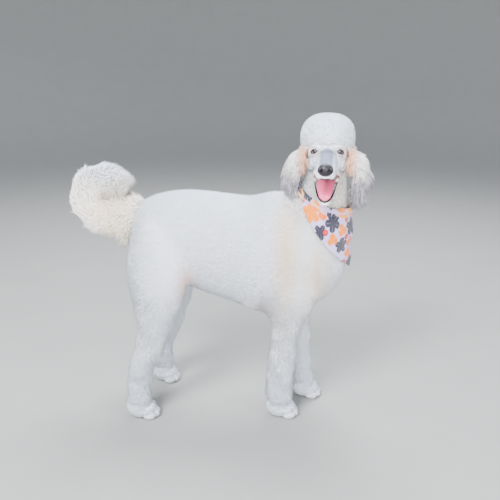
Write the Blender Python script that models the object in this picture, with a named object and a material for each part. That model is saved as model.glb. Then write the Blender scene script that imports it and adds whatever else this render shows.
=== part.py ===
"""A white standard poodle, life size, standing square and looking round over its right shoulder.

Metres, +Z up, the body facing +X. The floor is z = 0 and the four soles are flat on it. The flesh and the
dense under part of the coat are lofted, blended into one body and parted with thin cuts. Clumps and locks of
the long coat are then fused to the parts that they grow on.
"""

import math
import random

import bmesh
import bpy
from mathutils import Matrix, Vector
from mathutils.bvhtree import BVHTree
from mathutils.kdtree import KDTree

# Gap between two parts that touch.
GAP = 0.0003

# Level of the flat cut between leg and paw.
PAW_TOP = 0.044

# Plane under the topknot, in the head's frame: its height over the eyes and its fall to the nape.
KNOT_FLOOR = 0.012
KNOT_FALL = math.radians(20)

# Trunk with its short coat: distance along the body, top, underline and half width.
TRUNK = [
    (-0.287, 0.560, 0.485, 0.036),
    (-0.266, 0.598, 0.432, 0.068),
    (-0.218, 0.626, 0.398, 0.092),
    (-0.155, 0.640, 0.382, 0.100),
    (-0.100, 0.642, 0.360, 0.101),
    (-0.020, 0.635, 0.333, 0.106),
    (0.050, 0.629, 0.309, 0.113),
    (0.105, 0.642, 0.297, 0.114),
    (0.155, 0.642, 0.301, 0.109),
    (0.205, 0.615, 0.318, 0.101),
    (0.250, 0.580, 0.340, 0.087),
    (0.287, 0.530, 0.378, 0.062),
    (0.308, 0.485, 0.418, 0.034),
]

# Neck: centre of each ring, then its half size fore and aft and across.
NECK = [
    ((0.178, 0.000, 0.510), 0.122, 0.096),
    ((0.212, 0.000, 0.572), 0.100, 0.084),
    ((0.238, -0.002, 0.628), 0.076, 0.070),
    ((0.249, -0.003, 0.680), 0.060, 0.056),
    ((0.250, 0.002, 0.728), 0.054, 0.051),
    ((0.249, 0.010, 0.780), 0.046, 0.046),
]
NECK_LEAN = math.radians(17)
# Level inside the skull where the neck ends, in the head's frame.
NECK_END = -0.040

# Foreleg column, measured at its right foot: height, back edge, front edge, middle across and half width.
FORELEG = [
    (0.026, -0.046, 0.038, 0.000, 0.038),
    (0.065, -0.050, 0.041, 0.000, 0.042),
    (0.110, -0.050, 0.041, 0.000, 0.043),
    (0.190, -0.048, 0.046, 0.001, 0.044),
    (0.260, -0.045, 0.055, 0.004, 0.046),
    (0.330, -0.046, 0.078, 0.004, 0.050),
    (0.400, -0.055, 0.100, 0.010, 0.050),
    (0.480, -0.050, 0.085, 0.022, 0.040),
]

# Hind leg, measured at its right foot in the same way.
HINDLEG = [
    (0.026, -0.043, 0.036, 0.000, 0.037),
    (0.070, -0.044, 0.039, 0.000, 0.040),
    (0.120, -0.040, 0.044, 0.002, 0.040),
    (0.165, -0.041, 0.064, 0.004, 0.041),
    (0.205, -0.020, 0.085, 0.006, 0.043),
    (0.260, -0.010, 0.105, 0.010, 0.046),
    (0.320, -0.010, 0.125, 0.014, 0.050),
    (0.385, -0.020, 0.141, 0.020, 0.055),
    (0.450, -0.026, 0.150, 0.028, 0.058),
    (0.520, -0.010, 0.130, 0.038, 0.050),
    (0.570, 0.020, 0.090, 0.045, 0.035),
]

# Where each foot stands: name, leg shape, place on the floor and side (-1 is the dog's right).
FEET = [
    ("foreleg_r", FORELEG, 0.139, -0.064, -1),
    ("foreleg_l", FORELEG, 0.206, 0.050, 1),
    ("hindleg_r", HINDLEG, -0.257, -0.108, -1),
    ("hindleg_l", HINDLEG, -0.243, 0.096, 1),
]
# The hips and shoulders don't move with a foot, so the top of a leg leans back towards these places.
HIP = (-0.257, 0.108)
SHOULDER = (0.150, 0.066)

# Head, in its own frame: forward, left and up from the point midway between the eyes.
HEAD_AT = Vector((0.245, -0.055, 0.756))
HEAD_TURN = math.radians(-93.6)
HEAD_NOD = math.radians(4)
SKULL = [
    (-0.136, 0.018, -0.028, 0.018),
    (-0.122, 0.034, -0.044, 0.038),
    (-0.085, 0.046, -0.060, 0.050),
    (-0.045, 0.050, -0.066, 0.053),
    (-0.012, 0.042, -0.064, 0.049),
    (0.010, 0.024, -0.056, 0.039),
    (0.022, 0.008, -0.044, 0.026),
]
MUZZLE = [
    (-0.030, 0.020, -0.056, 0.024),
    (0.000, 0.019, -0.056, 0.027),
    (0.030, 0.008, -0.053, 0.0275),
    (0.060, 0.001, -0.049, 0.0255),
    (0.090, -0.004, -0.046, 0.0240),
    (0.110, -0.009, -0.045, 0.0220),
    (0.121, -0.016, -0.041, 0.0150),
]
EYE_OUT = 0.0285
EYE_R = 0.0112
EYE_SPLAY = math.radians(17)
LID_THICK = 0.0021
LID_WIDE = 0.0098
LID_HIGH = 0.0060
NOSE_AT = Vector((0.1185, 0.0, -0.0205))
NOSE_SIZE = Vector((0.0135, 0.0185, 0.0150))

# Lower jaw: distance from the hinge, top, bottom and half width.
JAW_HINGE = Vector((-0.045, 0.0, -0.050))
JAW_OPEN = math.radians(23)
JAW = [
    (0.020, 0.006, -0.026, 0.037),
    (0.055, 0.005, -0.024, 0.032),
    (0.090, 0.004, -0.020, 0.026),
    (0.118, 0.003, -0.017, 0.0205),
    (0.138, 0.001, -0.013, 0.0150),
    (0.146, -0.003, -0.009, 0.0080),
]
TONGUE_THICK = 0.0045

# Ears: where the flap leaves the head, its fullest place and its end, as forward, out and up.
EAR_ROOT = Vector((-0.036, 0.056, 0.016))
EAR_WAIST = Vector((-0.034, 0.074, -0.040))
EAR_TIP = Vector((-0.030, 0.080, -0.092))
EAR_HALF_WIDE = 0.034
EAR_THICK = 0.016
# Tiers of locks down the flap: how far down, and how many locks.
EAR_TIERS = [(0.10, 6), (0.34, 7), (0.58, 7), (0.80, 6), (0.98, 5)]

# Topknot dome, in the head's frame.
KNOT_AT = Vector((-0.056, 0.0, 0.026))
KNOT_SIZE = Vector((0.082, 0.070, 0.066))
KNOT_INSET = 0.027

# Clumps of the curly coat: distance between roots, radius, height over the core and depth of the root.
LEG_CLUMP = (0.036, 0.0235, 0.0140, 0.008)
NECK_CLUMP = (0.032, 0.0220, 0.0140, 0.008)
KNOT_CLUMPS = 84
KNOT_CLUMP = (0.0195, 0.0290, 0.012)
LEG_FADE = (0.270, 0.370)
# Triangles of each covered node, once its pieces are fused and run together.
LEG_FACES = 720
NECK_FACES = 460
KNOT_FACES = 1300
EAR_FACES = 900
TAIL_FACES = 2100

# Locks of the ears and the tail: half width, half thickness, length and how wide the tip stays.
EAR_LOCK = (0.0120, 0.0055, 0.070, 0.26)
TAIL_LOCK = (0.0185, 0.0095, 0.060, 0.58)
LOCK_SINK = 0.012

# Tail: a hook that leaves the croup, turns up and curls forward over itself.
TAIL_PATH = [
    (-0.235, 0.000, 0.580),
    (-0.290, 0.000, 0.562),
    (-0.345, 0.000, 0.551),
    (-0.388, 0.000, 0.574),
    (-0.402, 0.000, 0.620),
    (-0.382, 0.000, 0.658),
    (-0.338, 0.000, 0.668),
    (-0.302, 0.000, 0.650),
]
TAIL_CORE = [0.018, 0.030, 0.034, 0.034, 0.033, 0.031, 0.027, 0.016]

# Paws: half sizes of the pad and toes.
PAW_LONG = 0.036
PAW_WIDE = 0.028
TOE = Vector((0.0165, 0.0098, 0.0130))
CLAW_LONG = 0.012
CLAW_R = 0.0032

# Blocks that part the legs: back, front, height of the cut on the middle line and its rise outwards.
FORE_REGION = (0.030, 0.330, 0.288, math.radians(36))
HIND_REGION = (-0.400, -0.085, 0.340, math.radians(42))

# Neckerchief: a band round the neck and a triangle that hangs over the chest.
CLOTH_THICK = 0.0022
BAND_AXIS_TOP = Vector((0.245, 0.0, 0.660))
BAND_AXIS_LOW = Vector((0.205, 0.0, 0.440))
BAND_LOW = 0.596
BAND_RISE = 0.072
FLAP_MIDDLE = math.radians(-14)
FLAP_HALF = math.radians(112)
FLAP_DROP = 0.150


def clear_scene():
    for found in list(bpy.data.objects):
        bpy.data.objects.remove(found, do_unlink=True)


def new_object(name, mesh):
    made = bpy.data.objects.new(name, mesh)
    bpy.context.scene.collection.objects.link(made)
    return made


def mesh_object(name, points, faces):
    mesh = bpy.data.meshes.new(name)
    mesh.from_pydata([tuple(p) for p in points], [], faces)
    mesh.validate()
    return new_object(name, mesh)


def settle(obj):
    """Replaces the mesh with the one that the modifiers make, and drops the modifiers."""
    bpy.context.view_layer.update()
    graph = bpy.context.evaluated_depsgraph_get()
    made = bpy.data.meshes.new_from_object(obj.evaluated_get(graph))
    made.name = obj.name
    obj.modifiers.clear()
    obj.data = made
    return obj


def join(name, pieces):
    """One object that holds all the pieces' faces, in world space."""
    joined = bmesh.new()
    for piece in pieces:
        mesh = piece.data.copy()
        mesh.transform(piece.matrix_world)
        joined.from_mesh(mesh)
        bpy.data.meshes.remove(mesh)
        bpy.data.objects.remove(piece, do_unlink=True)
    mesh = bpy.data.meshes.new(name)
    joined.to_mesh(mesh)
    joined.free()
    return new_object(name, mesh)


def copy_of(obj, name):
    return new_object(name, obj.data.copy())


def blend(obj, voxel, rounds, faces):
    """Runs overlapping closed shapes together into one smooth skin with about that many triangles."""
    remesh = obj.modifiers.new("remesh", "REMESH")
    remesh.mode = "VOXEL"
    remesh.voxel_size = voxel
    smooth = obj.modifiers.new("smooth", "SMOOTH")
    smooth.iterations = rounds
    smooth.factor = 0.5
    settle(obj)
    triangles = 2 * len(obj.data.polygons)
    thin = obj.modifiers.new("thin", "DECIMATE")
    thin.ratio = min(1.0, faces / triangles)
    thin.use_collapse_triangulate = True
    return settle(obj)


def swell(obj, by):
    """Moves the surface outwards."""
    mesh = obj.data
    normals = [v.normal.copy() for v in mesh.vertices]
    for vertex, normal in zip(mesh.vertices, normals):
        vertex.co += normal * by
    return obj


def boolean(obj, other, operation, solver="MANIFOLD", remove=True):
    cut = obj.modifiers.new("cut", "BOOLEAN")
    cut.operation = operation
    cut.solver = solver
    cut.object = other
    settle(obj)
    if remove:
        bpy.data.objects.remove(other, do_unlink=True)
    return obj


def fuse(obj, pieces):
    """One Boolean union of the object with a collection of closed pieces, which are then removed."""
    group = bpy.data.collections.new(obj.name + "_pieces")
    bpy.context.scene.collection.children.link(group)
    for piece in pieces:
        for home in list(piece.users_collection):
            home.objects.unlink(piece)
        group.objects.link(piece)
    union = obj.modifiers.new("union", "BOOLEAN")
    union.operation = "UNION"
    union.operand_type = "COLLECTION"
    union.collection = group
    union.solver = "MANIFOLD"
    settle(obj)
    for piece in list(group.objects):
        bpy.data.objects.remove(piece, do_unlink=True)
    bpy.data.collections.remove(group)
    return obj


def felt(obj, voxel, rounds, faces):
    """Runs the fused pieces of a coat together, so that clumps and locks are rounded where they meet."""
    keep_largest(obj)
    blend(obj, voxel, rounds, faces)
    return keep_largest(obj)


def islands_of(shape):
    """The connected surfaces of a bmesh, as lists of faces."""
    left = set(shape.faces)
    found = []
    while left:
        stack = [left.pop()]
        island = []
        while stack:
            face = stack.pop()
            island.append(face)
            for edge in face.edges:
                for near in edge.link_faces:
                    if near in left:
                        left.remove(near)
                        stack.append(near)
        found.append(island)
    return found


def keep_largest(obj):
    """Keeps the largest closed surface."""
    shape = bmesh.new()
    shape.from_mesh(obj.data)
    bmesh.ops.triangulate(shape, faces=shape.faces[:])
    islands = islands_of(shape)
    islands.sort(key=lambda island: sum(f.calc_area() for f in island))
    for island in islands[:-1]:
        bmesh.ops.delete(shape, geom=island, context="FACES")
    loose = [v for v in shape.verts if not v.link_faces]
    bmesh.ops.delete(shape, geom=loose, context="VERTS")
    shape.to_mesh(obj.data)
    shape.free()
    return obj


def curve_through(values, steps):
    """Catmull-Rom points through rows of numbers, with that many steps between two rows."""
    rows = [Vector(row) for row in values]
    ends = [rows[0] * 2 - rows[1]] + rows + [rows[-1] * 2 - rows[-2]]
    found = []
    for i in range(1, len(ends) - 2):
        before, start, stop, after = ends[i - 1 : i + 3]
        for step in range(steps):
            t = step / steps
            found.append(
                0.5
                * (
                    2 * start
                    + (stop - before) * t
                    + (2 * before - 5 * start + 4 * stop - after) * t * t
                    + (3 * start - before - 3 * stop + after) * t * t * t
                )
            )
    found.append(rows[-1])
    return found


def tube(name, rings, sides):
    """Closed loft through rings of (centre, half axis, other half axis), with a point at each end."""
    points = []
    for centre, one, other in rings:
        for k in range(sides):
            angle = 2 * math.pi * k / sides
            points.append(centre + one * math.cos(angle) + other * math.sin(angle))
    faces = []
    for r in range(len(rings) - 1):
        for k in range(sides):
            a = r * sides + k
            b = r * sides + (k + 1) % sides
            faces.append((a, b, b + sides, a + sides))
    start = len(points)
    points += [rings[0][0], rings[-1][0]]
    last = (len(rings) - 1) * sides
    for k in range(sides):
        faces.append((start, (k + 1) % sides, k))
        faces.append((start + 1, last + k, last + (k + 1) % sides))
    made = mesh_object(name, points, faces)
    outward(made)
    return made


def outward(obj):
    shape = bmesh.new()
    shape.from_mesh(obj.data)
    bmesh.ops.recalc_face_normals(shape, faces=shape.faces[:])
    shape.to_mesh(obj.data)
    shape.free()


def profile_loft(name, rows, place=None, sides=28, steps=3, inset=0.0):
    """Loft along +X from rows of (along, top, bottom, half width), placed by a matrix."""
    rings = []
    for along, top, bottom, wide in curve_through(rows, steps):
        centre = Vector((along, 0, (top + bottom) / 2))
        high = max(0.002, (top - bottom) / 2 - inset)
        wide = max(0.002, wide - inset)
        rings.append((centre, Vector((0, wide, 0)), Vector((0, 0, high))))
    made = tube(name, rings, sides)
    if place is not None:
        made.data.transform(place)
    return made


def leg_fade(height):
    """How fully the clumps stand out at a height: all the way low down, not at all under the trunk."""
    low, high = LEG_FADE
    return min(1.0, max(0.0, (high - height) / (high - low)))


def leg_rings(shape, foot_x, foot_y, side):
    """Level rings of one leg's core. Its top leans towards the hip or shoulder, which stay put."""
    home_x, home_y = HIP if shape is HINDLEG else SHOULDER
    rings = []
    low, high = shape[0][0], shape[-1][0]
    for height, back, front, across, wide in curve_through(shape, 3):
        lean = max(0.0, (height - low) / (high - low))
        x = foot_x + (home_x - foot_x) * lean
        y = foot_y + (side * home_y - foot_y) * lean
        inset = LEG_CLUMP[2] * 0.8 * leg_fade(height)
        centre = Vector((x + (back + front) / 2, y - side * across, height))
        one = Vector(((front - back) / 2 - inset, 0, 0))
        rings.append((centre, one, Vector((0, wide - inset, 0))))
    return rings


def ball(name, at, size, place=None, rings=12, sides=16):
    """Ellipsoid from a UV sphere."""
    shape = bmesh.new()
    bmesh.ops.create_uvsphere(shape, u_segments=sides, v_segments=rings, radius=1.0)
    mesh = bpy.data.meshes.new(name)
    shape.to_mesh(mesh)
    shape.free()
    mesh.transform(Matrix.Translation(at) @ Matrix.Diagonal((*size, 1.0)))
    if place is not None:
        mesh.transform(place)
    return new_object(name, mesh)


def slab(name, at, half, turn):
    """Box with its middle at a place, turned by a matrix."""
    shape = bmesh.new()
    bmesh.ops.create_cube(shape, size=2.0)
    mesh = bpy.data.meshes.new(name)
    shape.to_mesh(mesh)
    shape.free()
    mesh.transform(Matrix.Translation(at) @ turn @ Matrix.Diagonal((*half, 1.0)))
    return new_object(name, mesh)


def head_frame():
    turn = Matrix.Rotation(HEAD_TURN, 4, "Z") @ Matrix.Rotation(HEAD_NOD, 4, "Y")
    return Matrix.Translation(HEAD_AT) @ turn


def jaw_frame():
    drop = Matrix.Rotation(JAW_OPEN, 4, "Y")
    return head_frame() @ Matrix.Translation(JAW_HINGE) @ drop


def neck_rings(inset=0.0):
    rings = []
    flat = [(*centre, fore, across) for centre, fore, across in NECK]
    rows = curve_through(flat, 3)
    count = len(rows) - 1
    for i, (x, y, z, fore, across) in enumerate(rows):
        lean = NECK_LEAN * (1 - i / count) * 1.6
        along = Vector((math.cos(lean), 0, -math.sin(lean)))
        rings.append(
            (Vector((x, y, z)), along * (fore - inset), Vector((0, across - inset, 0)))
        )
    return rings


def body_core():
    """Trunk, neck and the dense under part of the legs, run together."""
    pieces = [profile_loft("trunk", TRUNK, sides=32)]
    pieces.append(tube("neck", neck_rings(), 28))
    for name, shape, x, y, side in FEET:
        pieces.append(tube(name, leg_rings(shape, x, y, side), 20))
    return blend(join("body", pieces), 0.0065, 7, 2300)


def leg_region(side, fore, by=0.0):
    """Block that holds one leg: its top face rises outwards, from under the chest or the groin."""
    back, front, low, rise = FORE_REGION if fore else HIND_REGION
    inner, outer = 0.003 - by, 0.400
    top = low + by + math.tan(rise) * outer
    section = [(inner, -0.1), (outer, -0.1), (outer, top), (inner, low + by)]
    points = [
        Vector((x, side * y, z)) for x in (back - by, front + by) for y, z in section
    ]
    faces = [(3, 2, 1, 0), (4, 5, 6, 7)]
    for k in range(4):
        faces.append((k, (k + 1) % 4, (k + 1) % 4 + 4, k + 4))
    made = mesh_object("region", points, faces)
    outward(made)
    return made


def along_path(points):
    """Tangent at each point of a path."""
    found = []
    for i in range(len(points)):
        before = points[max(0, i - 1)]
        after = points[min(len(points) - 1, i + 1)]
        found.append((after - before).normalized())
    return found


def path_tube(name, path, radii, sides, flat=1.0, up=Vector((0, 1, 0))):
    """Tube of changing radius along a path; flat squeezes it along its second axis."""
    rings = []
    for point, tangent, radius in zip(path, along_path(path), radii):
        one = tangent.cross(up).normalized()
        other = tangent.cross(one).normalized()
        rings.append((point, one * radius, other * radius * flat))
    return tube(name, rings, sides)


def spread(obj, gap, seed, wanted):
    """Points about a gap apart all over the surface, with normals, where wanted says so."""
    draw = random.Random(seed)
    mesh = obj.data
    mesh.calc_loop_triangles()
    corners = [[mesh.vertices[i].co for i in t.vertices] for t in mesh.loop_triangles]
    areas = [t.area for t in mesh.loop_triangles]
    tries = int(sum(areas) / (gap * gap) * 14)
    picks = draw.choices(range(len(corners)), weights=areas, k=tries)
    kept = []
    for pick in picks:
        a, b = draw.random(), draw.random()
        if a + b > 1:
            a, b = 1 - a, 1 - b
        one, two, three = corners[pick]
        point = one + (two - one) * a + (three - one) * b
        normal = mesh.loop_triangles[pick].normal
        if not wanted(point, normal):
            continue
        if all((point - other).length > gap for other, _ in kept):
            kept.append((point.copy(), normal.copy()))
    return kept


def smooth_normals(points, obj):
    """The same points with normals averaged over the surface round them."""
    tree = KDTree(len(obj.data.vertices))
    for i, vertex in enumerate(obj.data.vertices):
        tree.insert(vertex.co, i)
    tree.balance()
    found = []
    for point, _ in points:
        near = [obj.data.vertices[i].normal for _, i, _ in tree.find_n(point, 6)]
        found.append((point, sum(near, Vector()).normalized()))
    return found


def clump(point, normal, radius, height, sink):
    """Rounded clump of hair: half of a flattened ball stands out of the surface."""
    across = normal.orthogonal().normalized()
    turn = Matrix((across, normal.cross(across), normal)).transposed().to_4x4()
    place = Matrix.Translation(point - normal * sink) @ turn
    return ball("clump", Vector(), (radius, radius, height + sink), place, 6, 8)


def pompon_clump(point, out, radius, height, sink, draw):
    """Clump of a round crest: it widens from its root and ends in a rounded crown."""
    side = Matrix.Rotation(draw.uniform(0, math.tau), 3, out) @ out.orthogonal().normalized()
    other = out.cross(side)
    rings = []
    for share, wide in ((-sink, 0.45), (0.35 * height, 0.80), (0.78 * height, 0.98), (height, 0.52)):
        reach = radius * wide * draw.uniform(0.95, 1.05)
        rings.append((point + out * share, side * reach, other * reach))
    return tube("clump", rings, 5)


def clumps_on(obj, sizes, seed, wanted, scale):
    """Rounded clumps set close all over the wanted part of a surface."""
    gap, radius, height, sink = sizes
    draw = random.Random(seed)
    made = []
    for point, normal in smooth_normals(spread(obj, gap, seed, wanted), obj):
        size = scale(point)
        if size < 0.25:
            continue
        wide = radius * draw.uniform(0.92, 1.10)
        high = height * size * draw.uniform(0.88, 1.12)
        made.append(clump(point, normal, wide, high, sink))
    return made


def lock(root, start, end, sizes, draw):
    """Flat, tapered lock of four sides: leaves along one direction and bends to another."""
    wide, thick, length, tip = sizes
    wide *= draw.uniform(0.90, 1.12)
    count = 3
    path = [root]
    for i in range(1, count + 1):
        turned = start.lerp(end, (i - 0.5) / count).normalized()
        path.append(path[-1] + turned * (length / count))
    flat = start.cross(end)
    if flat.length < 0.15:
        flat = start.orthogonal()
    flat = Matrix.Rotation(draw.uniform(-0.45, 0.45), 3, start.normalized()) @ flat.normalized()
    rings = []
    for point, tangent, share in zip(path, along_path(path), (0.75, 1.0, 0.85, tip)):
        across = (flat - tangent * flat.dot(tangent)).normalized()
        rings.append((point, across * wide * share, tangent.cross(across) * thick * share))
    return tube("lock", rings, 4)


def almond(place, side):
    """Cutter for the opening between the lids: a lens outline pushed through them."""
    count = 8
    outline = []
    for k in range(count):
        t = -1 + 2 * k / count
        outline.append((t * LID_WIDE, LID_HIGH * (1 - t * t) * 0.95))
    for k in range(count):
        t = 1 - 2 * k / count
        outline.append((t * LID_WIDE, -LID_HIGH * (1 - t * t) * 0.80))
    tilt = math.radians(15)
    points = []
    for depth in (0.0035, 0.030):
        for across, up in outline:
            y = across * math.cos(tilt) + up * math.sin(tilt)
            z = -across * math.sin(tilt) + up * math.cos(tilt)
            points.append(Vector((depth, side * y, z)))
    size = len(outline)
    faces = [tuple(range(size)), tuple(range(2 * size - 1, size - 1, -1))]
    for k in range(size):
        faces.append((k, (k + 1) % size, (k + 1) % size + size, k + size))
    cutter = mesh_object("almond", points, faces)
    outward(cutter)
    cutter.data.transform(place)
    return cutter


def eye_frame(side):
    at = Vector((0.0, side * EYE_OUT, 0.0))
    out = Matrix.Rotation(side * EYE_SPLAY, 4, "Z")
    return head_frame() @ Matrix.Translation(at) @ out


UPPER_LIP = [
    (0.012, 0.0285, -0.060),
    (0.035, 0.0285, -0.057),
    (0.060, 0.0262, -0.051),
    (0.085, 0.0240, -0.0475),
    (0.105, 0.0195, -0.0460),
    (0.117, 0.0100, -0.0440),
    (0.119, 0.0000, -0.0425),
]
LOWER_LIP = [
    (0.050, 0.0300, 0.004),
    (0.080, 0.0262, 0.004),
    (0.105, 0.0220, 0.004),
    (0.126, 0.0165, 0.003),
    (0.139, 0.0088, 0.001),
    (0.143, 0.0000, 0.000),
]


def lip(name, rows, radius, place):
    """Lip round the whole front of a jaw, one closed tube."""
    half = curve_through(rows, 2)
    path = [Vector((p[0], -p[1], p[2])) for p in half]
    path += [Vector(p) for p in reversed(half[:-1])]
    radii = [radius] * len(path)
    made = path_tube(name, path, radii, 8, up=Vector((0, 0, 1)))
    made.data.transform(place)
    return made


def make_head(neck_block):
    """Skull and upper jaw with brows, lids, cheeks and lips, opened for the eyes and the nose."""
    place = head_frame()
    pieces = [
        profile_loft("skull", SKULL, place),
        profile_loft("muzzle", MUZZLE, place),
        lip("upper_lip", UPPER_LIP, 0.0036, place),
    ]
    for side in (-1, 1):
        cheek = Vector((-0.028, side * 0.036, -0.028))
        brow = Vector((0.002, side * 0.024, 0.0155))
        web = Vector((0.012, side * 0.0275, -0.064))
        pad = Vector((0.098, side * 0.0125, -0.035))
        pieces.append(ball("cheek", cheek, (0.040, 0.015, 0.024), place))
        pieces.append(ball("brow", brow, (0.014, 0.016, 0.009), place))
        pieces.append(ball("web", web, (0.019, 0.0055, 0.020), place))
        pieces.append(ball("pad", pad, (0.021, 0.0125, 0.0125), place))
        lid = EYE_R + LID_THICK
        pieces.append(ball("lid", Vector(), (lid, lid, lid), eye_frame(side)))
    head = blend(join("head", pieces), 0.0022, 3, 1150)
    for side in (-1, 1):
        hollow = EYE_R + GAP
        socket = ball("socket", Vector(), (hollow,) * 3, eye_frame(side), 7, 10)
        boolean(head, socket, "DIFFERENCE")
        boolean(head, almond(eye_frame(side), side), "DIFFERENCE")
    boolean(head, nose_shape("nose_room", GAP), "DIFFERENCE")
    boolean(head, neck_block, "DIFFERENCE")
    return keep_largest(head)


def nose_shape(name, by=0.0):
    size = NOSE_SIZE + Vector((by, by, by))
    return ball(name, NOSE_AT, size, head_frame(), 7, 11)


def make_nose():
    """Nose leather with two nostrils."""
    nose = nose_shape("nose")
    for side in (-1, 1):
        turn = Matrix.Rotation(side * math.radians(24), 4, "Z")
        at = Matrix.Translation(NOSE_AT + Vector((0.0100, side * 0.0088, 0.0005)))
        place = head_frame() @ at @ turn
        hole = ball("nostril", Vector(), (0.0075, 0.0040, 0.0052), place, 5, 6)
        boolean(nose, hole, "DIFFERENCE")
    return keep_largest(nose)


def make_eye(name, side):
    return ball(name, Vector(), (EYE_R - 0.0002,) * 3, eye_frame(side), 7, 10)


def make_jaw(head, neck_block):
    """Lower jaw with its lip round a floor that the tongue lies on."""
    place = jaw_frame()
    pieces = [
        profile_loft("jaw", JAW, place, 24),
        lip("lower_lip", LOWER_LIP, 0.0034, place),
    ]
    jaw = blend(join("lower_jaw", pieces), 0.0022, 2, 420)
    boolean(jaw, swell(copy_of(head, "head_room"), GAP), "DIFFERENCE")
    boolean(jaw, neck_block, "DIFFERENCE")
    floor = swell(tongue_shape("tongue_room"), GAP)
    boolean(jaw, floor, "DIFFERENCE")
    return keep_largest(jaw)


def tongue_shape(name):
    """Tongue with a groove along its middle, lying in the lower jaw with its tip on the front lip."""
    rows = [
        (0.040, 0.010, 0.0190),
        (0.060, 0.011, 0.0215),
        (0.085, 0.0105, 0.0210),
        (0.110, 0.0090, 0.0180),
        (0.128, 0.0065, 0.0140),
        (0.139, 0.0040, 0.0080),
    ]
    sides = 10
    rings = []
    for along, up, wide in curve_through(rows, 2):
        ring = []
        for k in range(sides):
            angle = math.tau * k / sides
            y, z = math.cos(angle) * wide, math.sin(angle) * TONGUE_THICK
            if z > 0:
                z -= 0.0022 * math.exp(-((y / (0.25 * wide)) ** 2))
            ring.append(Vector((along, y, up + z)))
        rings.append(ring)
    points = [p for ring in rings for p in ring]
    faces = []
    for r in range(len(rings) - 1):
        for k in range(sides):
            a = r * sides + k
            b = r * sides + (k + 1) % sides
            faces.append((a, b, b + sides, a + sides))
    faces.append(tuple(range(sides)))
    faces.append(tuple(range((len(rings) - 1) * sides, len(rings) * sides)))
    made = mesh_object(name, points, faces)
    outward(made)
    made.data.transform(jaw_frame())
    shape = bmesh.new()
    shape.from_mesh(made.data)
    bmesh.ops.triangulate(shape, faces=shape.faces[:])
    shape.to_mesh(made.data)
    shape.free()
    return made


def make_tongue(head, neck):
    tongue = tongue_shape("tongue")
    boolean(tongue, swell(copy_of(neck, "neck_room"), GAP), "DIFFERENCE")
    boolean(tongue, swell(copy_of(head, "head_room"), GAP), "DIFFERENCE")
    return keep_largest(tongue)


def ear_path():
    return curve_through([EAR_ROOT, EAR_WAIST, EAR_TIP], 4)


def ear_core(name, side):
    """Ear leather: a flat flap that hangs beside the cheek."""
    rings = []
    path = ear_path()
    count = len(path) - 1
    for i, point in enumerate(path):
        share = i / count
        full = math.sin(math.pi * (0.22 + 0.68 * share)) ** 0.6
        centre = Vector((point.x, side * point.y, point.z))
        wide = Vector((EAR_HALF_WIDE * full, 0, 0))
        rings.append((centre, wide, Vector((0, side * EAR_THICK * full, 0))))
    made = tube(name, rings, 12)
    made.data.transform(head_frame())
    return made


def ear_locks(side, seed):
    """Tiers of long locks that spring from the flap, fall over one another and hang to the tips."""
    place = head_frame()
    turn = place.to_3x3()
    draw = random.Random(seed)
    wide, thick, length, tip = EAR_LOCK
    made = []
    path = ear_path()
    down = Vector((0, 0, -1))
    for share, count in EAR_TIERS:
        index = share * (len(path) - 1)
        low = min(int(index), len(path) - 2)
        middle = path[low].lerp(path[low + 1], index - low)
        full = math.sin(math.pi * (0.22 + 0.68 * share)) ** 0.6
        for k in range(count):
            angle = math.radians(-104 + 208 * (k + draw.uniform(0.3, 0.7)) / count)
            out = Vector((math.sin(angle), math.cos(angle), 0))
            root = middle + Vector((out.x * EAR_HALF_WIDE, out.y * EAR_THICK, 0)) * full * 0.55
            start = (out * 1.5 + down * draw.uniform(0.25, 0.6)).normalized()
            end = (down * 1.6 + out * draw.uniform(-0.35, 0.15)).normalized()
            long = length * draw.uniform(0.90, 1.10) * (0.86 if share > 0.8 else 1.0)
            root, start, end = (Vector((v.x, v.y * side, v.z)) for v in (root, start, end))
            points = (place @ root, turn @ start, turn @ end)
            made.append(lock(*points, (wide, thick, long, tip), draw))
    return made


def knot_plane(by, above):
    """Block over or under the slanted plane that parts the topknot from the ears and the nape."""
    fall = Matrix.Rotation(-KNOT_FALL, 4, "Y")
    reach = 0.2 if above else -0.2
    block = slab("level", Vector((0, 0, reach)), (0.4, 0.4, 0.2), Matrix())
    block.data.transform(Matrix.Translation((0, 0, KNOT_FLOOR + by)) @ fall)
    block.data.transform(head_frame())
    return block


def make_ear(name, side, seed, rooms):
    """Ear flap with its locks, and the cup of the ear open towards the face."""
    ear = fuse(ear_core(name, side), ear_locks(side, seed))
    felt(ear, 0.0030, 1, EAR_FACES)
    boolean(ear, knot_plane(0, True), "DIFFERENCE")
    cup_at = Vector((EAR_ROOT.x + EAR_HALF_WIDE * 0.72, side * 0.062, -0.026))
    cup = ball("cup", cup_at, (0.017, 0.010, 0.024), head_frame(), 7, 10)
    boolean(ear, cup, "DIFFERENCE")
    for room in rooms:
        boolean(ear, swell(copy_of(room, "room"), 2 * GAP), "DIFFERENCE")
    return keep_largest(ear)


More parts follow.
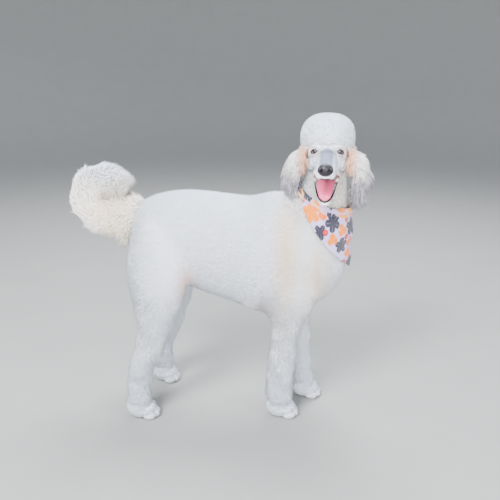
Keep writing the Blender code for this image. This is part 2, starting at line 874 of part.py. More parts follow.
def make_topknot(head):
    """Rounded crest of hair: close clumps that stand out of a core, cut off over the brows and ears."""
    place = head_frame()
    turn = place.to_3x3()
    size = KNOT_SIZE - Vector((KNOT_INSET,) * 3)
    knot = ball("topknot", KNOT_AT, size, place, 8, 12)
    draw = random.Random(11)
    radius, height, sink = KNOT_CLUMP
    clumps = []
    for k in range(KNOT_CLUMPS):
        up = 1 - 2 * (k + 0.5) / KNOT_CLUMPS
        if up < -0.45:
            continue
        angle = k * math.pi * (3 - math.sqrt(5))
        flat = math.sqrt(1 - up * up)
        way = Vector((math.cos(angle) * flat, math.sin(angle) * flat, up))
        out = Vector((way.x / size.x, way.y / size.y, way.z / size.z)).normalized()
        root = place @ (KNOT_AT + Vector((way.x * size.x, way.y * size.y, way.z * size.z)))
        wide, high = radius * draw.uniform(0.94, 1.06), height * draw.uniform(0.92, 1.06)
        clumps.append(pompon_clump(root, (turn @ out).normalized(), wide, high, sink, draw))
    fuse(knot, clumps)
    felt(knot, 0.0038, 1, KNOT_FACES)
    boolean(knot, knot_plane(GAP, False), "DIFFERENCE")
    boolean(knot, swell(copy_of(head, "head_room"), GAP), "DIFFERENCE")
    return keep_largest(knot)


def tail_locks(seed):
    """Locks that stand out all round the tail and bend towards its tip, over one another."""
    draw = random.Random(seed)
    wide, thick, length, tip = TAIL_LOCK
    path = curve_through(TAIL_PATH, 4)
    radii = [r.x for r in curve_through([(r, 0) for r in TAIL_CORE], 4)]
    tangents = along_path(path)
    last = len(path) - 1
    made = []
    turn = 0.0
    for i in range(3, len(path)):
        tangent = tangents[i]
        side = Vector((0, 1, 0))
        up = side.cross(tangent).normalized()
        count = 5
        turn += 0.66
        for k in range(count):
            angle = turn + math.tau * (k + draw.uniform(-0.15, 0.15)) / count
            out = up * math.cos(angle) + side * math.sin(angle)
            lean = draw.uniform(0.15, 0.45) if i < last else draw.uniform(0.6, 1.1)
            start = (out + tangent * lean).normalized()
            end = (out + tangent * (lean + 0.9)).normalized()
            root = path[i] + out * (radii[i] - LOCK_SINK)
            long = length * draw.uniform(0.88, 1.10) * tail_fullness(out, i / last)
            made.append(lock(root, start, end, (wide, thick, long, tip), draw))
    return made


def tail_fullness(out, share):
    """Hair is shorter where the curl faces its own root, and longest under the root."""
    inner = max(0.0, -out.z) if share > 0.55 else max(0.0, out.z)
    return 1.0 - 0.35 * inner * (0.4 if share < 0.2 else 1.0)


def make_tail(torso):
    path = curve_through(TAIL_PATH, 3)
    radii = [r.x for r in curve_through([(r, 0) for r in TAIL_CORE], 3)]
    tail = path_tube("tail", path, radii, 10)
    fuse(tail, tail_locks(5))
    felt(tail, 0.0036, 1, TAIL_FACES)
    boolean(tail, swell(copy_of(torso, "room"), GAP), "DIFFERENCE")
    return keep_largest(tail)


def paw_frame(x, y, side, fore):
    turn = math.radians(-4 * side) if fore else math.radians(-6 * side)
    return Matrix.Translation((x, y, 0)) @ Matrix.Rotation(turn, 4, "Z")


def claw_shape(place, toe_at):
    """Short, curved claw out of the front of a toe."""
    root = toe_at + Vector((TOE.x * 0.62, 0, TOE.z * 0.10))
    path = []
    for share in (0.0, 0.55, 1.0):
        drop = -0.0045 * share * share
        path.append(root + Vector((CLAW_LONG * share, 0, drop)))
    radii = [CLAW_R, CLAW_R * 0.75, CLAW_R * 0.2]
    made = path_tube("claw", path, radii, 3)
    made.data.transform(place)
    return made


def make_paw(name, x, y, side, fore):
    """Paw with four toes and their claws, flat on the floor."""
    place = paw_frame(x, y, side, fore)
    pad = ball(name, Vector((0.002, 0, 0.022)), (PAW_LONG, PAW_WIDE, 0.026), place, 5, 9)
    ankle = Vector((-0.006, 0, 0.034))
    pieces = [ball("ankle", ankle, (0.027, 0.024, 0.028), place, 4, 7)]
    toes = ((0.026, -0.0205), (0.036, -0.0075), (0.036, 0.0075), (0.026, 0.0205))
    for ahead, out in toes:
        at = Vector((ahead, out, 0.0115))
        pieces.append(ball("toe", at, TOE, place, 4, 5))
        pieces.append(claw_shape(place, at))
    paw = fuse(pad, pieces)
    floor = slab("floor", Vector((x, y, -0.05)), (0.2, 0.2, 0.05), Matrix())
    boolean(paw, floor, "DIFFERENCE")
    ceiling = slab("ceiling", Vector((x, y, PAW_TOP + 0.05)), (0.2, 0.2, 0.05), Matrix())
    boolean(paw, ceiling, "DIFFERENCE")
    return keep_largest(paw)


def make_legs(body):
    """Parts each leg from the body with its block, and covers it with clumps down to the cuff."""
    legs = {}
    for seed, (name, shape, x, y, side) in enumerate(FEET):
        fore = shape is FORELEG
        leg = copy_of(body, name)
        boolean(leg, leg_region(side, fore, 0.012), "INTERSECT")
        keep_largest(leg)

        def wanted(point, normal):
            return point.z > PAW_TOP + 0.012 and abs(normal.z) < 0.8

        def scale(point):
            return leg_fade(point.z)

        fuse(leg, clumps_on(leg, LEG_CLUMP, 20 + seed, wanted, scale))
        leg = felt(leg, 0.0055, 1, LEG_FACES)
        boolean(leg, leg_region(side, fore), "INTERSECT")
        under = slab("under", Vector((x, y, PAW_TOP + GAP - 0.1)), (0.3, 0.3, 0.1), Matrix())
        boolean(leg, under, "DIFFERENCE")
        legs[name] = keep_largest(leg)
    for name, shape, x, y, side in FEET:
        boolean(body, leg_region(side, shape is FORELEG, GAP), "DIFFERENCE")
    return legs


def clothe_neck(neck):
    """Clumps on the throat and the nape, between the ears and above the neckerchief."""
    level = head_frame().inverted()

    def wanted(point, normal):
        angle = math.atan2(point.y, point.x - BAND_AXIS_TOP.x)
        at = level @ point
        under_ear = abs(at.y) > 0.040 and at.x > -0.085
        under_jaw = at.x > -0.02 and at.z > -0.105
        return point.z > band_height(angle) + 0.022 and not under_ear and not under_jaw and at.z < 0.0

    fuse(neck, clumps_on(neck, NECK_CLUMP, 31, wanted, lambda point: 1.0))
    felt(neck, 0.0060, 1, NECK_FACES)
    boolean(neck, neck_cut(), "INTERSECT")
    block = slab("above", Vector((0, 0, NECK_END + 0.2)), (0.4, 0.4, 0.2), Matrix())
    block.data.transform(head_frame())
    boolean(neck, block, "DIFFERENCE")
    return keep_largest(neck)


def neck_cut(by=0.0):
    """Block over the plane that parts the neck from the trunk."""
    lean = Matrix.Rotation(math.radians(38), 4, "Y")
    up = lean.to_3x3() @ Vector((0, 0, 1))
    middle = Vector((0.215, 0, 0.560)) + up * (0.30 - by)
    return slab("above", middle, (0.30, 0.30, 0.30), lean)


def band_point(tree, angle, height, off):
    """Point just outside the coat, in a direction round the neck and at a height."""
    share = (BAND_AXIS_TOP.z - height) / (BAND_AXIS_TOP.z - BAND_AXIS_LOW.z)
    axis = BAND_AXIS_TOP.lerp(BAND_AXIS_LOW, share)
    way = Vector((math.cos(angle), math.sin(angle), 0))
    hit = tree.ray_cast(axis + way * 0.5, -way)[0]
    if hit is None:
        hit = axis + way * 0.02
    return Vector((hit.x, hit.y, height)) + way * off


def band_height(angle):
    """Height of the band round the neck: low at the throat and the sides, high on the nape."""
    return BAND_LOW + BAND_RISE * ((1 - math.cos(angle)) / 2) ** 2


def smooth_rows(rows, rounds, closed=False):
    for _ in range(rounds):
        old = [[p.copy() for p in row] for row in rows]
        for i, row in enumerate(old):
            for j in range(len(row)):
                near = []
                if i > 0:
                    near.append(old[i - 1][j])
                if i < len(old) - 1:
                    near.append(old[i + 1][j])
                if closed or 0 < j < len(row) - 1:
                    near.append(row[(j + 1) % len(row)])
                    near.append(row[j - 1])
                middle = sum(near, Vector()) / len(near)
                rows[i][j] = row[j].lerp(middle, 0.5)
    return rows


def make_bandana(parts):
    """Neckerchief: a rolled band round the neck, a triangle over the chest and a knot behind."""
    room = join("room", [copy_of(p, "room_piece") for p in parts])
    shape = bmesh.new()
    shape.from_mesh(room.data)
    tree = BVHTree.FromBMesh(shape)
    shape.free()
    bpy.data.objects.remove(room, do_unlink=True)
    sides = 24
    ring = []
    for k in range(sides):
        angle = math.tau * k / sides
        ring.append(band_point(tree, angle, band_height(angle), 0.0062))
    ring = smooth_rows([ring], 3, closed=True)[0]
    points, faces = [], []
    for k in range(sides):
        tangent = (ring[(k + 1) % sides] - ring[k - 1]).normalized()
        out = tangent.cross(Vector((0, 0, 1))).normalized()
        for j in range(6):
            angle = math.tau * j / 6
            high = Vector((0, 0, 1)) * math.sin(angle) * 0.0105
            points.append(ring[k] + out * math.cos(angle) * 0.0042 + high)
    for k in range(sides):
        for j in range(6):
            a, b = k * 6 + j, k * 6 + (j + 1) % 6
            c = ((k + 1) % sides) * 6
            faces.append((a, b, c + (j + 1) % 6, c + j))
    band = mesh_object("bandana", points, faces)
    outward(band)
    columns, rows = 14, 5
    grid = []
    for i in range(rows + 1):
        line = []
        for k in range(columns + 1):
            share = -1 + 2 * k / columns
            angle = FLAP_MIDDLE + FLAP_HALF * share
            drop = (0.012 + FLAP_DROP * (1 - abs(share))) * i / rows
            height = band_height(angle) - drop
            line.append(band_point(tree, angle, height, 0.0052 + 0.004 * i / rows))
        grid.append(line)
    grid = smooth_rows(grid, 3)
    flap_points = [p for line in grid for p in line]
    flap_faces = []
    for i in range(rows):
        for k in range(columns):
            a = i * (columns + 1) + k
            flap_faces.append((a, a + 1, a + columns + 1))
            flap_faces.append((a + 1, a + columns + 2, a + columns + 1))
    flap = mesh_object("flap", flap_points, flap_faces)
    solid = flap.modifiers.new("thick", "SOLIDIFY")
    solid.thickness = CLOTH_THICK
    solid.offset = 0.0
    settle(flap)
    outward(flap)
    back = FLAP_MIDDLE + math.pi
    knot_at = band_point(tree, back, band_height(back), 0.012)
    knot = ball("knot", knot_at, (0.012, 0.016, 0.013), None, 8, 12)
    fuse(band, [flap, knot])
    for part in parts:
        boolean(band, swell(copy_of(part, "room"), 2 * GAP), "DIFFERENCE")
    return keep_largest(band)


def paint(obj, name, colour, roughness):
    material = bpy.data.materials.get(name)
    if material is None:
        material = bpy.data.materials.new(name)
        material.use_nodes = True
        shader = material.node_tree.nodes["Principled BSDF"]
        shader.inputs["Base Color"].default_value = (*colour, 1.0)
        shader.inputs["Roughness"].default_value = roughness
        shader.inputs["Metallic"].default_value = 0.0
    obj.data.materials.clear()
    obj.data.materials.append(material)


COAT = ("white coat", (0.86, 0.84, 0.80), 0.9)
EAR_COAT = ("ear coat", (0.78, 0.68, 0.60), 0.9)
LEATHER = ("nose leather", (0.035, 0.032, 0.036), 0.45)
EYE = ("eye", (0.045, 0.022, 0.014), 0.08)
TONGUE_PINK = ("tongue", (0.80, 0.33, 0.40), 0.4)
CLOTH = ("printed cotton", (0.86, 0.80, 0.84), 0.85)


def centre_on_floor(nodes):
    """Moves all the parts so that the middle of their box stands over the origin."""
    corners = [v.co for node in nodes for v in node.data.vertices]
    low_x, high_x = min(c.x for c in corners), max(c.x for c in corners)
    low_y, high_y = min(c.y for c in corners), max(c.y for c in corners)
    shift = Vector((-(low_x + high_x) / 2, -(low_y + high_y) / 2, 0))
    for node in nodes:
        node.data.transform(Matrix.Translation(shift))


def main():
    clear_scene()
    body = body_core()
    legs = make_legs(body)
    neck = copy_of(body, "neck")
    boolean(neck, neck_cut(0.012), "INTERSECT")
    clothe_neck(keep_largest(neck))
    boolean(body, neck_cut(GAP), "DIFFERENCE")
    torso = keep_largest(body)
    torso.name = "torso"
    head = make_head(swell(copy_of(neck, "neck_room"), GAP))
    jaw = make_jaw(head, swell(copy_of(neck, "neck_room"), GAP))
    tongue = make_tongue(head, neck)
    nose = make_nose()
    eyes = [make_eye("eye_r", -1), make_eye("eye_l", 1)]
    knot = make_topknot(head)
    bandana = make_bandana([neck, torso])
    rooms = [head, neck, jaw, torso, bandana]
    ears = [make_ear("ear_r", -1, 41, rooms), make_ear("ear_l", 1, 42, rooms)]
    tail = make_tail(torso)
    paws = []
    for name, shape, x, y, side in FEET:
        fore = shape is FORELEG
        paw_name = name.replace("foreleg", "forepaw").replace("hindleg", "hindpaw")
        paws.append(make_paw(paw_name, x, y, side, fore))
    for piece in [torso, neck, head, jaw, knot, tail, *paws, *legs.values()]:
        paint(piece, *COAT)
    for piece in ears:
        paint(piece, *EAR_COAT)
    for piece in eyes:
        paint(piece, *EYE)
    paint(nose, *LEATHER)
    paint(tongue, *TONGUE_PINK)
    paint(bandana, *CLOTH)
    nodes = [torso, neck, head, jaw, tongue, nose, knot, tail, bandana]
    centre_on_floor(nodes + eyes + ears + paws + list(legs.values()))


main()
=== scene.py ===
"""Looks of the white standard poodle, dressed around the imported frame.

One skin takes the place of the nodes of flesh. Tufts of coat grow from it in numpy arrays, piece by piece.
The eyes, nose, tongue, mouth, claws and neckerchief are pieces of their own.
"""

import math

import bmesh
import bpy
import numpy as np
from mathutils import Matrix, Vector
from mathutils.bvhtree import BVHTree


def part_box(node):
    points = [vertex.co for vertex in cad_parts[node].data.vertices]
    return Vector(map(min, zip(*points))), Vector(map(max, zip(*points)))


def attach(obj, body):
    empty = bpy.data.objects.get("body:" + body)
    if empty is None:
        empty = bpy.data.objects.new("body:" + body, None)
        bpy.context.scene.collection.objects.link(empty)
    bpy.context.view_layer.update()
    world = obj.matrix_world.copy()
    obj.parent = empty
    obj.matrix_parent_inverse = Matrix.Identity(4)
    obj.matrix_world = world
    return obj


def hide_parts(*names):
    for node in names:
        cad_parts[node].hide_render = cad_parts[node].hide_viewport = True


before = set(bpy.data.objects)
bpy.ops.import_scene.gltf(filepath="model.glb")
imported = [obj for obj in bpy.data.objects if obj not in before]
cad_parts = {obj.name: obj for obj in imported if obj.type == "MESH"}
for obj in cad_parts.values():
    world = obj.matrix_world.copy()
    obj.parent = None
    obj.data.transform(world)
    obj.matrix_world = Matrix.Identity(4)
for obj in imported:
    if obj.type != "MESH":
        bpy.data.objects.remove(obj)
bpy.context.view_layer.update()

# Neckerchief: axis of the neck, heights, and the triangle over the chest.
BAND_TOP = Vector((0.245, 0.0, 0.660))
BAND_FOOT = Vector((0.205, 0.0, 0.440))
BAND_LOW = 0.596
BAND_RISE = 0.072
BAND_LONG = 0.40
FLAP_MIDDLE = math.radians(-14)
FLAP_HALF = math.radians(112)
FLAP_DROP = 0.134
CLOTH_THICK = 0.0012
# Degrees round the neck, and how far from its axis the cloth may be there.
NECK_REACH = (0, 60, 90, 126, 180, 234, 360), (0.13, 0.11, 0.09, 0.08, 0.088, 0.08, 0.13)

# Its print, in metres on the flat cloth: place, size, turn, tint and lobes.
LEAVES = (
    ((-0.165, -0.018), 0.030, 0.9, "gold", 5),
    ((-0.094, -0.022), 0.028, 2.2, "dark", 5),
    ((-0.020, -0.034), 0.026, 0.3, "dark", 5),
    ((0.052, -0.026), 0.024, 1.2, "dark", 5),
    ((0.128, -0.020), 0.025, 0.2, "dark", 5),
    ((-0.054, -0.080), 0.023, 1.7, "dark", 5),
    ((0.028, -0.086), 0.024, 2.9, "dark", 5),
    ((-0.010, -0.130), 0.021, 0.6, "dark", 5),
    ((-0.058, -0.040), 0.018, 2.0, "gold", 3),
    ((0.092, -0.034), 0.018, 1.5, "gold", 3),
    ((0.012, -0.060), 0.017, 0.8, "gold", 3),
    ((-0.126, -0.054), 0.022, 0.1, "dark", 5),
    ((-0.026, -0.104), 0.016, 1.1, "gold", 3),
    ((0.170, -0.016), 0.017, 2.6, "gold", 3),
    ((-0.086, -0.066), 0.018, 1.9, "gold", 3),
    ((-0.086, 0.072), 0.027, 1.9, "gold", 5),
    ((0.066, 0.062), 0.024, 0.5, "dark", 5),
    ((-0.010, 0.078), 0.018, 1.0, "gold", 3),
    ((0.150, 0.070), 0.018, 2.4, "gold", 3),
    ((-0.170, 0.066), 0.018, 0.6, "gold", 3),
    ((-0.215, 0.074), 0.022, 1.4, "dark", 5),
    ((-0.045, 0.078), 0.024, 0.3, "gold", 5),
    ((0.106, 0.064), 0.022, 2.0, "dark", 5),
    ((0.190, 0.074), 0.022, 0.8, "dark", 5),
    ((0.232, 0.066), 0.018, 1.7, "gold", 3),
    ((-0.255, 0.064), 0.018, 2.2, "gold", 3),
)
LEAF_TINTS = {
    "dark": ((0.014, 0.013, 0.030), (0.10, 0.10, 0.16)),
    "gold": ((0.90, 0.22, 0.002), (0.62, 0.09, 0.002)),
}
PUMPKINS = (
    ((0.014, -0.015), 0.016, 0.25),
    ((-0.130, -0.012), 0.015, -0.3),
    ((-0.020, -0.074), 0.015, 0.5),
    ((0.066, -0.066), 0.015, -0.2),
    ((0.010, -0.112), 0.013, 0.1),
    ((0.026, 0.066), 0.017, 0.7),
    ((-0.130, 0.076), 0.017, -0.5),
    ((0.270, 0.076), 0.017, 0.2),
    ((-0.290, 0.076), 0.017, -0.2),
)
BERRIES = (
    ((-0.206, -0.006), 0.012),
    ((-0.122, 0.070), 0.013),
    ((-0.044, -0.012), 0.0085),
    ((0.030, -0.052), 0.0080),
    ((-0.042, -0.058), 0.0080),
    ((0.048, -0.108), 0.0080),
    ((-0.038, -0.126), 0.0075),
    ((0.002, -0.152), 0.0120),
    ((0.074, -0.046), 0.0080),
    ((-0.112, -0.050), 0.0080),
    ((-0.052, 0.060), 0.0090),
    ((0.100, 0.076), 0.0090),
)

# Head frame: forward, left and up from the point midway between the eyes. The skull, the muzzle and the jaw
# are rows of (along, top, bottom, half width).
HEAD_AT = Vector((0.245, -0.055, 0.756))
HEAD_TURN = math.radians(-93.6)
HEAD_NOD = math.radians(4)
SKULL = [
    (-0.136, 0.018, -0.028, 0.018),
    (-0.122, 0.034, -0.044, 0.038),
    (-0.085, 0.046, -0.060, 0.050),
    (-0.045, 0.050, -0.066, 0.053),
    (-0.012, 0.042, -0.064, 0.049),
    (0.010, 0.024, -0.056, 0.039),
    (0.022, 0.008, -0.044, 0.026),
]
MUZZLE = [
    (-0.030, 0.020, -0.056, 0.024),
    (0.000, 0.019, -0.056, 0.027),
    (0.030, 0.008, -0.053, 0.0275),
    (0.060, 0.001, -0.049, 0.0255),
    (0.090, -0.004, -0.046, 0.0240),
    (0.110, -0.009, -0.045, 0.0220),
    (0.121, -0.016, -0.041, 0.0150),
]
EYE_OUT = 0.0285
EYE_R = 0.0110
EYE_SPLAY = math.radians(17)
LID_THICK = 0.0021
LID_WIDE = 0.0108
LID_HIGH = 0.0063
LID_TILT = math.radians(19)
NOSE_AT = Vector((0.1185, 0.0, -0.0205))
NOSE_SIZE = Vector((0.0135, 0.0185, 0.0150))
JAW_HINGE = Vector((-0.045, 0.0, -0.050))
JAW_OPEN = math.radians(23)
JAW = [
    (0.020, 0.006, -0.026, 0.037),
    (0.055, 0.005, -0.024, 0.032),
    (0.090, 0.004, -0.020, 0.026),
    (0.118, 0.003, -0.017, 0.0205),
    (0.138, 0.001, -0.013, 0.0150),
    (0.146, -0.003, -0.009, 0.0080),
]
JAW_FLOOR = [
    (0.000, 0.020, -0.004, 0.020),
    (0.060, 0.022, -0.008, 0.022),
    (0.110, 0.020, -0.006, 0.016),
    (0.134, 0.012, -0.003, 0.008),
]
# One side of each lip, and the tongue as rows of (along, up, half width).
UPPER_LIP = [
    (0.012, 0.0285, -0.060),
    (0.035, 0.0285, -0.057),
    (0.060, 0.0262, -0.051),
    (0.085, 0.0240, -0.0475),
    (0.105, 0.0195, -0.0460),
    (0.117, 0.0100, -0.0440),
    (0.119, 0.0000, -0.0425),
]
LOWER_LIP = [
    (0.050, 0.0300, 0.004),
    (0.080, 0.0262, 0.004),
    (0.105, 0.0220, 0.004),
    (0.126, 0.0165, 0.003),
    (0.139, 0.0088, 0.001),
    (0.143, 0.0000, 0.000),
]
TONGUE = [
    (0.030, 0.0075, 0.0185),
    (0.060, 0.0110, 0.0220),
    (0.085, 0.0110, 0.0215),
    (0.110, 0.0095, 0.0190),
    (0.128, 0.0068, 0.0150),
    (0.139, 0.0042, 0.0095),
    (0.1425, 0.0030, 0.0035),
]

# Folds of one side of the face, each with its width and depth: under the eye, over the lid, under the lid,
# beside the nose and behind the lip. The middle fold runs down from the nose.
FOLDS = (
    (((0.011, 0.019, -0.003), (0.022, 0.021, -0.012), (0.036, 0.0245, -0.022)), 0.0030, 0.0012),
    (((0.009, 0.018, 0.007), (0.011, 0.027, 0.010), (0.006, 0.038, 0.006)), 0.0018, 0.0011),
    (((0.010, 0.024, -0.0105), (0.009, 0.033, -0.0115), (0.003, 0.041, -0.009)), 0.0018, 0.0009),
    (((0.106, 0.0175, -0.016), (0.103, 0.0205, -0.028), (0.098, 0.0225, -0.038)), 0.0026, 0.0012),
    (((0.012, 0.034, -0.050), (0.004, 0.038, -0.040), (-0.006, 0.043, -0.026)), 0.0040, 0.0016),
)
MIDDLE_FOLD = (((0.124, 0, -0.034), (0.1225, 0, -0.040), (0.119, 0, -0.045)), 0.0014, 0.0012)

# Ear leather of the left side, in the head frame.
EAR_ROOT = (-0.036, 0.053, 0.006)
EAR_WAIST = (-0.034, 0.074, -0.040)
EAR_TIP = (-0.030, 0.081, -0.116)
EAR_HALF_WIDE = 0.030
EAR_THICK = 0.010

# Crest of the crown, in the head frame: its middle, reach, depth of hair, shift and squareness. Its lower
# edge rises to the brow by the last number.
KNOT_AT = Vector((-0.056, 0.0, 0.026))
KNOT_SIZE = Vector((0.080, 0.0695, 0.0625))
KNOT_CORE = 0.015
KNOT_AWRY = np.array((0.0, -0.0015, -0.004))
KNOT_POWER = 2.45
BROW_SLOPE = 0.364

# Bone of the tail, with its radius at each point.
TAIL_PATH = [
    (-0.235, 0.000, 0.580),
    (-0.290, 0.000, 0.562),
    (-0.345, 0.000, 0.551),
    (-0.388, 0.000, 0.574),
    (-0.402, 0.000, 0.620),
    (-0.382, 0.000, 0.658),
    (-0.338, 0.000, 0.668),
    (-0.302, 0.000, 0.650),
]
TAIL_BONE = [0.024, 0.038, 0.037, 0.034, 0.030, 0.026, 0.021, 0.013]

# Where each foot stands, and its side (-1 is the dog's right).
PAWS = [
    ("fore", 0.139, -0.064, -1),
    ("fore", 0.206, 0.050, 1),
    ("hind", -0.257, -0.108, -1),
    ("hind", -0.243, 0.096, 1),
]

# Legs: where each kind joins the trunk, how high, and how far it leads its straight line at four heights.
LEGS = {
    "fore": ((0.150, 0.066), 0.480, (0.10, 0.20, 0.33, 0.40), (-0.004, 0.0, 0.016, 0.022)),
    "hind": ((-0.257, 0.108), 0.570, (0.12, 0.205, 0.32, 0.45), (0.0, 0.033, 0.057, 0.062)),
}
# Toes of a foot, ahead and out.
TOES = ((0.026, -0.0205), (0.036, -0.0075), (0.036, 0.0075), (0.026, 0.0205))

# Side of the square that one tuft of coat grows from.
BODY_CELL = 0.0022
NECK_CELL = 0.0024
KNOT_CELL = 0.00148
EAR_CELL = 0.0015
TAIL_CELL = 0.00195
FACE_CELL = 0.0017
CHIN_CELL = 0.0018
PAW_CELL = 0.0024
# Height of a tuft's ridge against half its width.
TUFT_RIDGE = 0.55

# How far copies of the nodes are swollen, so that they overlap their neighbours.
NODE_SWELL = 0.0004
# Size of the cells that the body's skin is made from, and half the length of the flanks' coat.
BODY_VOXEL = 0.0060
TRUNK_HALF = 0.09

# Coat colours, linear. COOL is also laid on as painted cool skylight on tops and as painted cool shade near
# the feet; the grey lavender is painted shade for the ears' lower ends.
WHITE = np.array((0.84, 0.885, 0.965))
COOL = np.array((0.74, 0.82, 0.95))
CREAM = np.array((0.92, 0.80, 0.62))
PEACH = np.array((0.91, 0.70, 0.50))
APRICOT = np.array((0.85, 0.41, 0.24))
LAVENDER_SHADE = np.array((0.22, 0.20, 0.28))
MOSS = np.array((0.58, 0.54, 0.40))
BRIDGE = np.array((0.06, 0.11, 0.205))
LILAC = np.array((0.15, 0.115, 0.22))
ROSE = np.array((0.86, 0.62, 0.60))
INK = np.array((0.018, 0.014, 0.016))
LID_SHADE = np.array((0.20, 0.15, 0.18))
TOE_SHADE = np.array((0.50, 0.50, 0.55))

# Soft marks: colour, share, place and reach. Those of the face, in the head frame, are on both sides.
BODY_MARKS = (
    (PEACH, 0.78, (0.150, -0.10, 0.50), (0.030, 0.08, 0.16)),
    (PEACH, 0.62, (0.230, -0.08, 0.43), (0.030, 0.08, 0.10)),
    (ROSE, 0.85, (-0.115, -0.10, 0.405), (0.022, 0.06, 0.055)),
    (ROSE, 0.40, (0.090, -0.10, 0.325), (0.030, 0.06, 0.040)),
)
FACE_MARKS = (
    (LILAC, 0.65, (0.014, 0.016, -0.004), (0.012, 0.008, 0.010)),
    (LILAC, 0.55, (0.006, 0.031, -0.012), (0.014, 0.014, 0.005)),
    (ROSE, 0.30, (0.012, 0.034, -0.017), (0.014, 0.009, 0.008)),
    (BRIDGE, 0.35, (0.055, 0.022, -0.020), (0.030, 0.010, 0.010)),
)

HEAD = Matrix.Translation(HEAD_AT) @ Matrix.Rotation(HEAD_TURN, 4, "Z") @ Matrix.Rotation(HEAD_NOD, 4, "Y")
# The design is moved so that its eyes fall on those of the frame.
eye_low, eye_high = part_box("eye_r")
SHIFT = (eye_low + eye_high) / 2 - HEAD @ Vector((0.0, -EYE_OUT, 0.0))
SHIFT.z = 0.0
MOVE = Matrix.Translation(SHIFT)
HEAD = MOVE @ HEAD
JAWS = HEAD @ Matrix.Translation(JAW_HINGE) @ Matrix.Rotation(JAW_OPEN, 4, "Y")
HEAD_AXES = np.array(HEAD.to_3x3())
CAMERA_AT = (0.187 + SHIFT.x, -1.418 + SHIFT.y, 0.925)


def eye_place(side):
    at = Matrix.Translation((0.0, side * EYE_OUT, 0.0))
    return HEAD @ at @ Matrix.Rotation(side * EYE_SPLAY, 4, "Z")


def paw_place(kind, x, y, side):
    turn = math.radians((-4 if kind == "fore" else -6) * side)
    return MOVE @ Matrix.Translation((x, y, 0)) @ Matrix.Rotation(turn, 4, "Z")


# Small tools for arrays.


def unit(rows):
    return rows / np.maximum(np.linalg.norm(rows, axis=-1, keepdims=True), 1e-12)


def ease(value, low, high):
    """0 below low, 1 above high, smooth between. With low over high it falls instead."""
    share = np.clip((value - low) / (high - low), 0, 1)
    return share * share * (3 - 2 * share)


def bell(rows, at, reach):
    """1 at a place and fading round it."""
    apart = (rows - np.asarray(at)) / np.asarray(reach)
    return np.exp(-(apart**2).sum(-1))


def through(rows, steps):
    """Catmull-Rom points through rows of numbers, with that many steps between two rows."""
    rows = np.asarray(rows, float)
    if rows.ndim == 1:
        rows = rows[:, None]
    ends = np.vstack([2 * rows[0] - rows[1], rows, 2 * rows[-1] - rows[-2]])
    found = []
    for i in range(1, len(ends) - 2):
        a, b, c, d = ends[i - 1 : i + 3]
        for t in np.arange(steps) / steps:
            curve = 2 * b + (c - a) * t + (2 * a - 5 * b + 4 * c - d) * t**2 + (3 * b - a - 3 * c + d) * t**3
            found.append(0.5 * curve)
    found.append(rows[-1])
    return np.array(found)


def moved(rows, place):
    """Rows of points through a matrix."""
    matrix = np.array(place)
    return np.asarray(rows, float) @ matrix[:3, :3].T + matrix[:3, 3]


def round_about(count):
    """That many angles round a circle."""
    return np.arange(count) / count * math.tau


def tangents_of(path):
    """Direction of a path at each of its points."""
    ahead = np.vstack([path[1:], path[-1]])
    behind = np.vstack([path[0], path[:-1]])
    return unit(ahead - behind)


def nearest_on(path, rows):
    """Index of the nearest path point and the distance to it, for each row."""
    apart = np.linalg.norm(rows[:, None] - path[None], axis=2)
    index = apart.argmin(1)
    return index, apart[np.arange(len(rows)), index]


# Small tools for meshes.


def use(obj):
    """Makes this object the only one selected."""
    if bpy.context.mode != "OBJECT":
        bpy.ops.object.mode_set(mode="OBJECT")
    bpy.ops.object.select_all(action="DESELECT")
    obj.select_set(True)
    bpy.context.view_layer.objects.active = obj
    return obj


def apply_all(obj):
    use(obj)
    for modifier in list(obj.modifiers):
        bpy.ops.object.modifier_apply(modifier=modifier.name)
    return obj


def put(name, data):
    """A new object in the scene."""
    obj = bpy.data.objects.new(name, data)
    bpy.context.scene.collection.objects.link(obj)
    return obj


def mesh_of(name, points, faces, smooth=True):
    mesh = bpy.data.meshes.new(name)
    mesh.from_pydata([tuple(p) for p in points], [], [tuple(f) for f in faces])
    mesh.validate()
    if smooth:
        mesh.shade_smooth()
    return put(name, mesh)


def triangles_mesh(name, points, triangles):
    """A mesh of triangles straight from arrays."""
    mesh = bpy.data.meshes.new(name)
    mesh.vertices.add(len(points))
    mesh.vertices.foreach_set("co", np.ascontiguousarray(points, np.float32).ravel())
    mesh.loops.add(len(triangles) * 3)
    mesh.loops.foreach_set("vertex_index", np.ascontiguousarray(triangles, np.int32).ravel())
    mesh.polygons.add(len(triangles))
    mesh.polygons.foreach_set("loop_start", np.arange(0, len(triangles) * 3, 3, dtype=np.int32))
    mesh.update(calc_edges=True)
    mesh.shade_smooth()
    return put(name, mesh)


def loft(name, rings):
    """Closed tube through rings of points, (rings, sides, 3), with a fan at each end."""
    rings = np.asarray(rings)
    count, sides = rings.shape[:2]
    points = np.vstack([rings.reshape(-1, 3), rings[0].mean(0), rings[-1].mean(0)])
    faces = []
    for r in range(count - 1):
        for k in range(sides):
            a, b = r * sides + k, r * sides + (k + 1) % sides
            faces.append((a, b, b + sides, a + sides))
    last = (count - 1) * sides
    for k in range(sides):
        faces.append((count * sides, (k + 1) % sides, k))
        faces.append((count * sides + 1, last + k, last + (k + 1) % sides))
    return face_out(mesh_of(name, points, faces))


def face_out(obj):
    """Turns all faces outwards."""
    use(obj)
    bpy.ops.object.mode_set(mode="EDIT")
    bpy.ops.mesh.select_all(action="SELECT")
    bpy.ops.mesh.normals_make_consistent(inside=False)
    bpy.ops.object.mode_set(mode="OBJECT")
    return obj


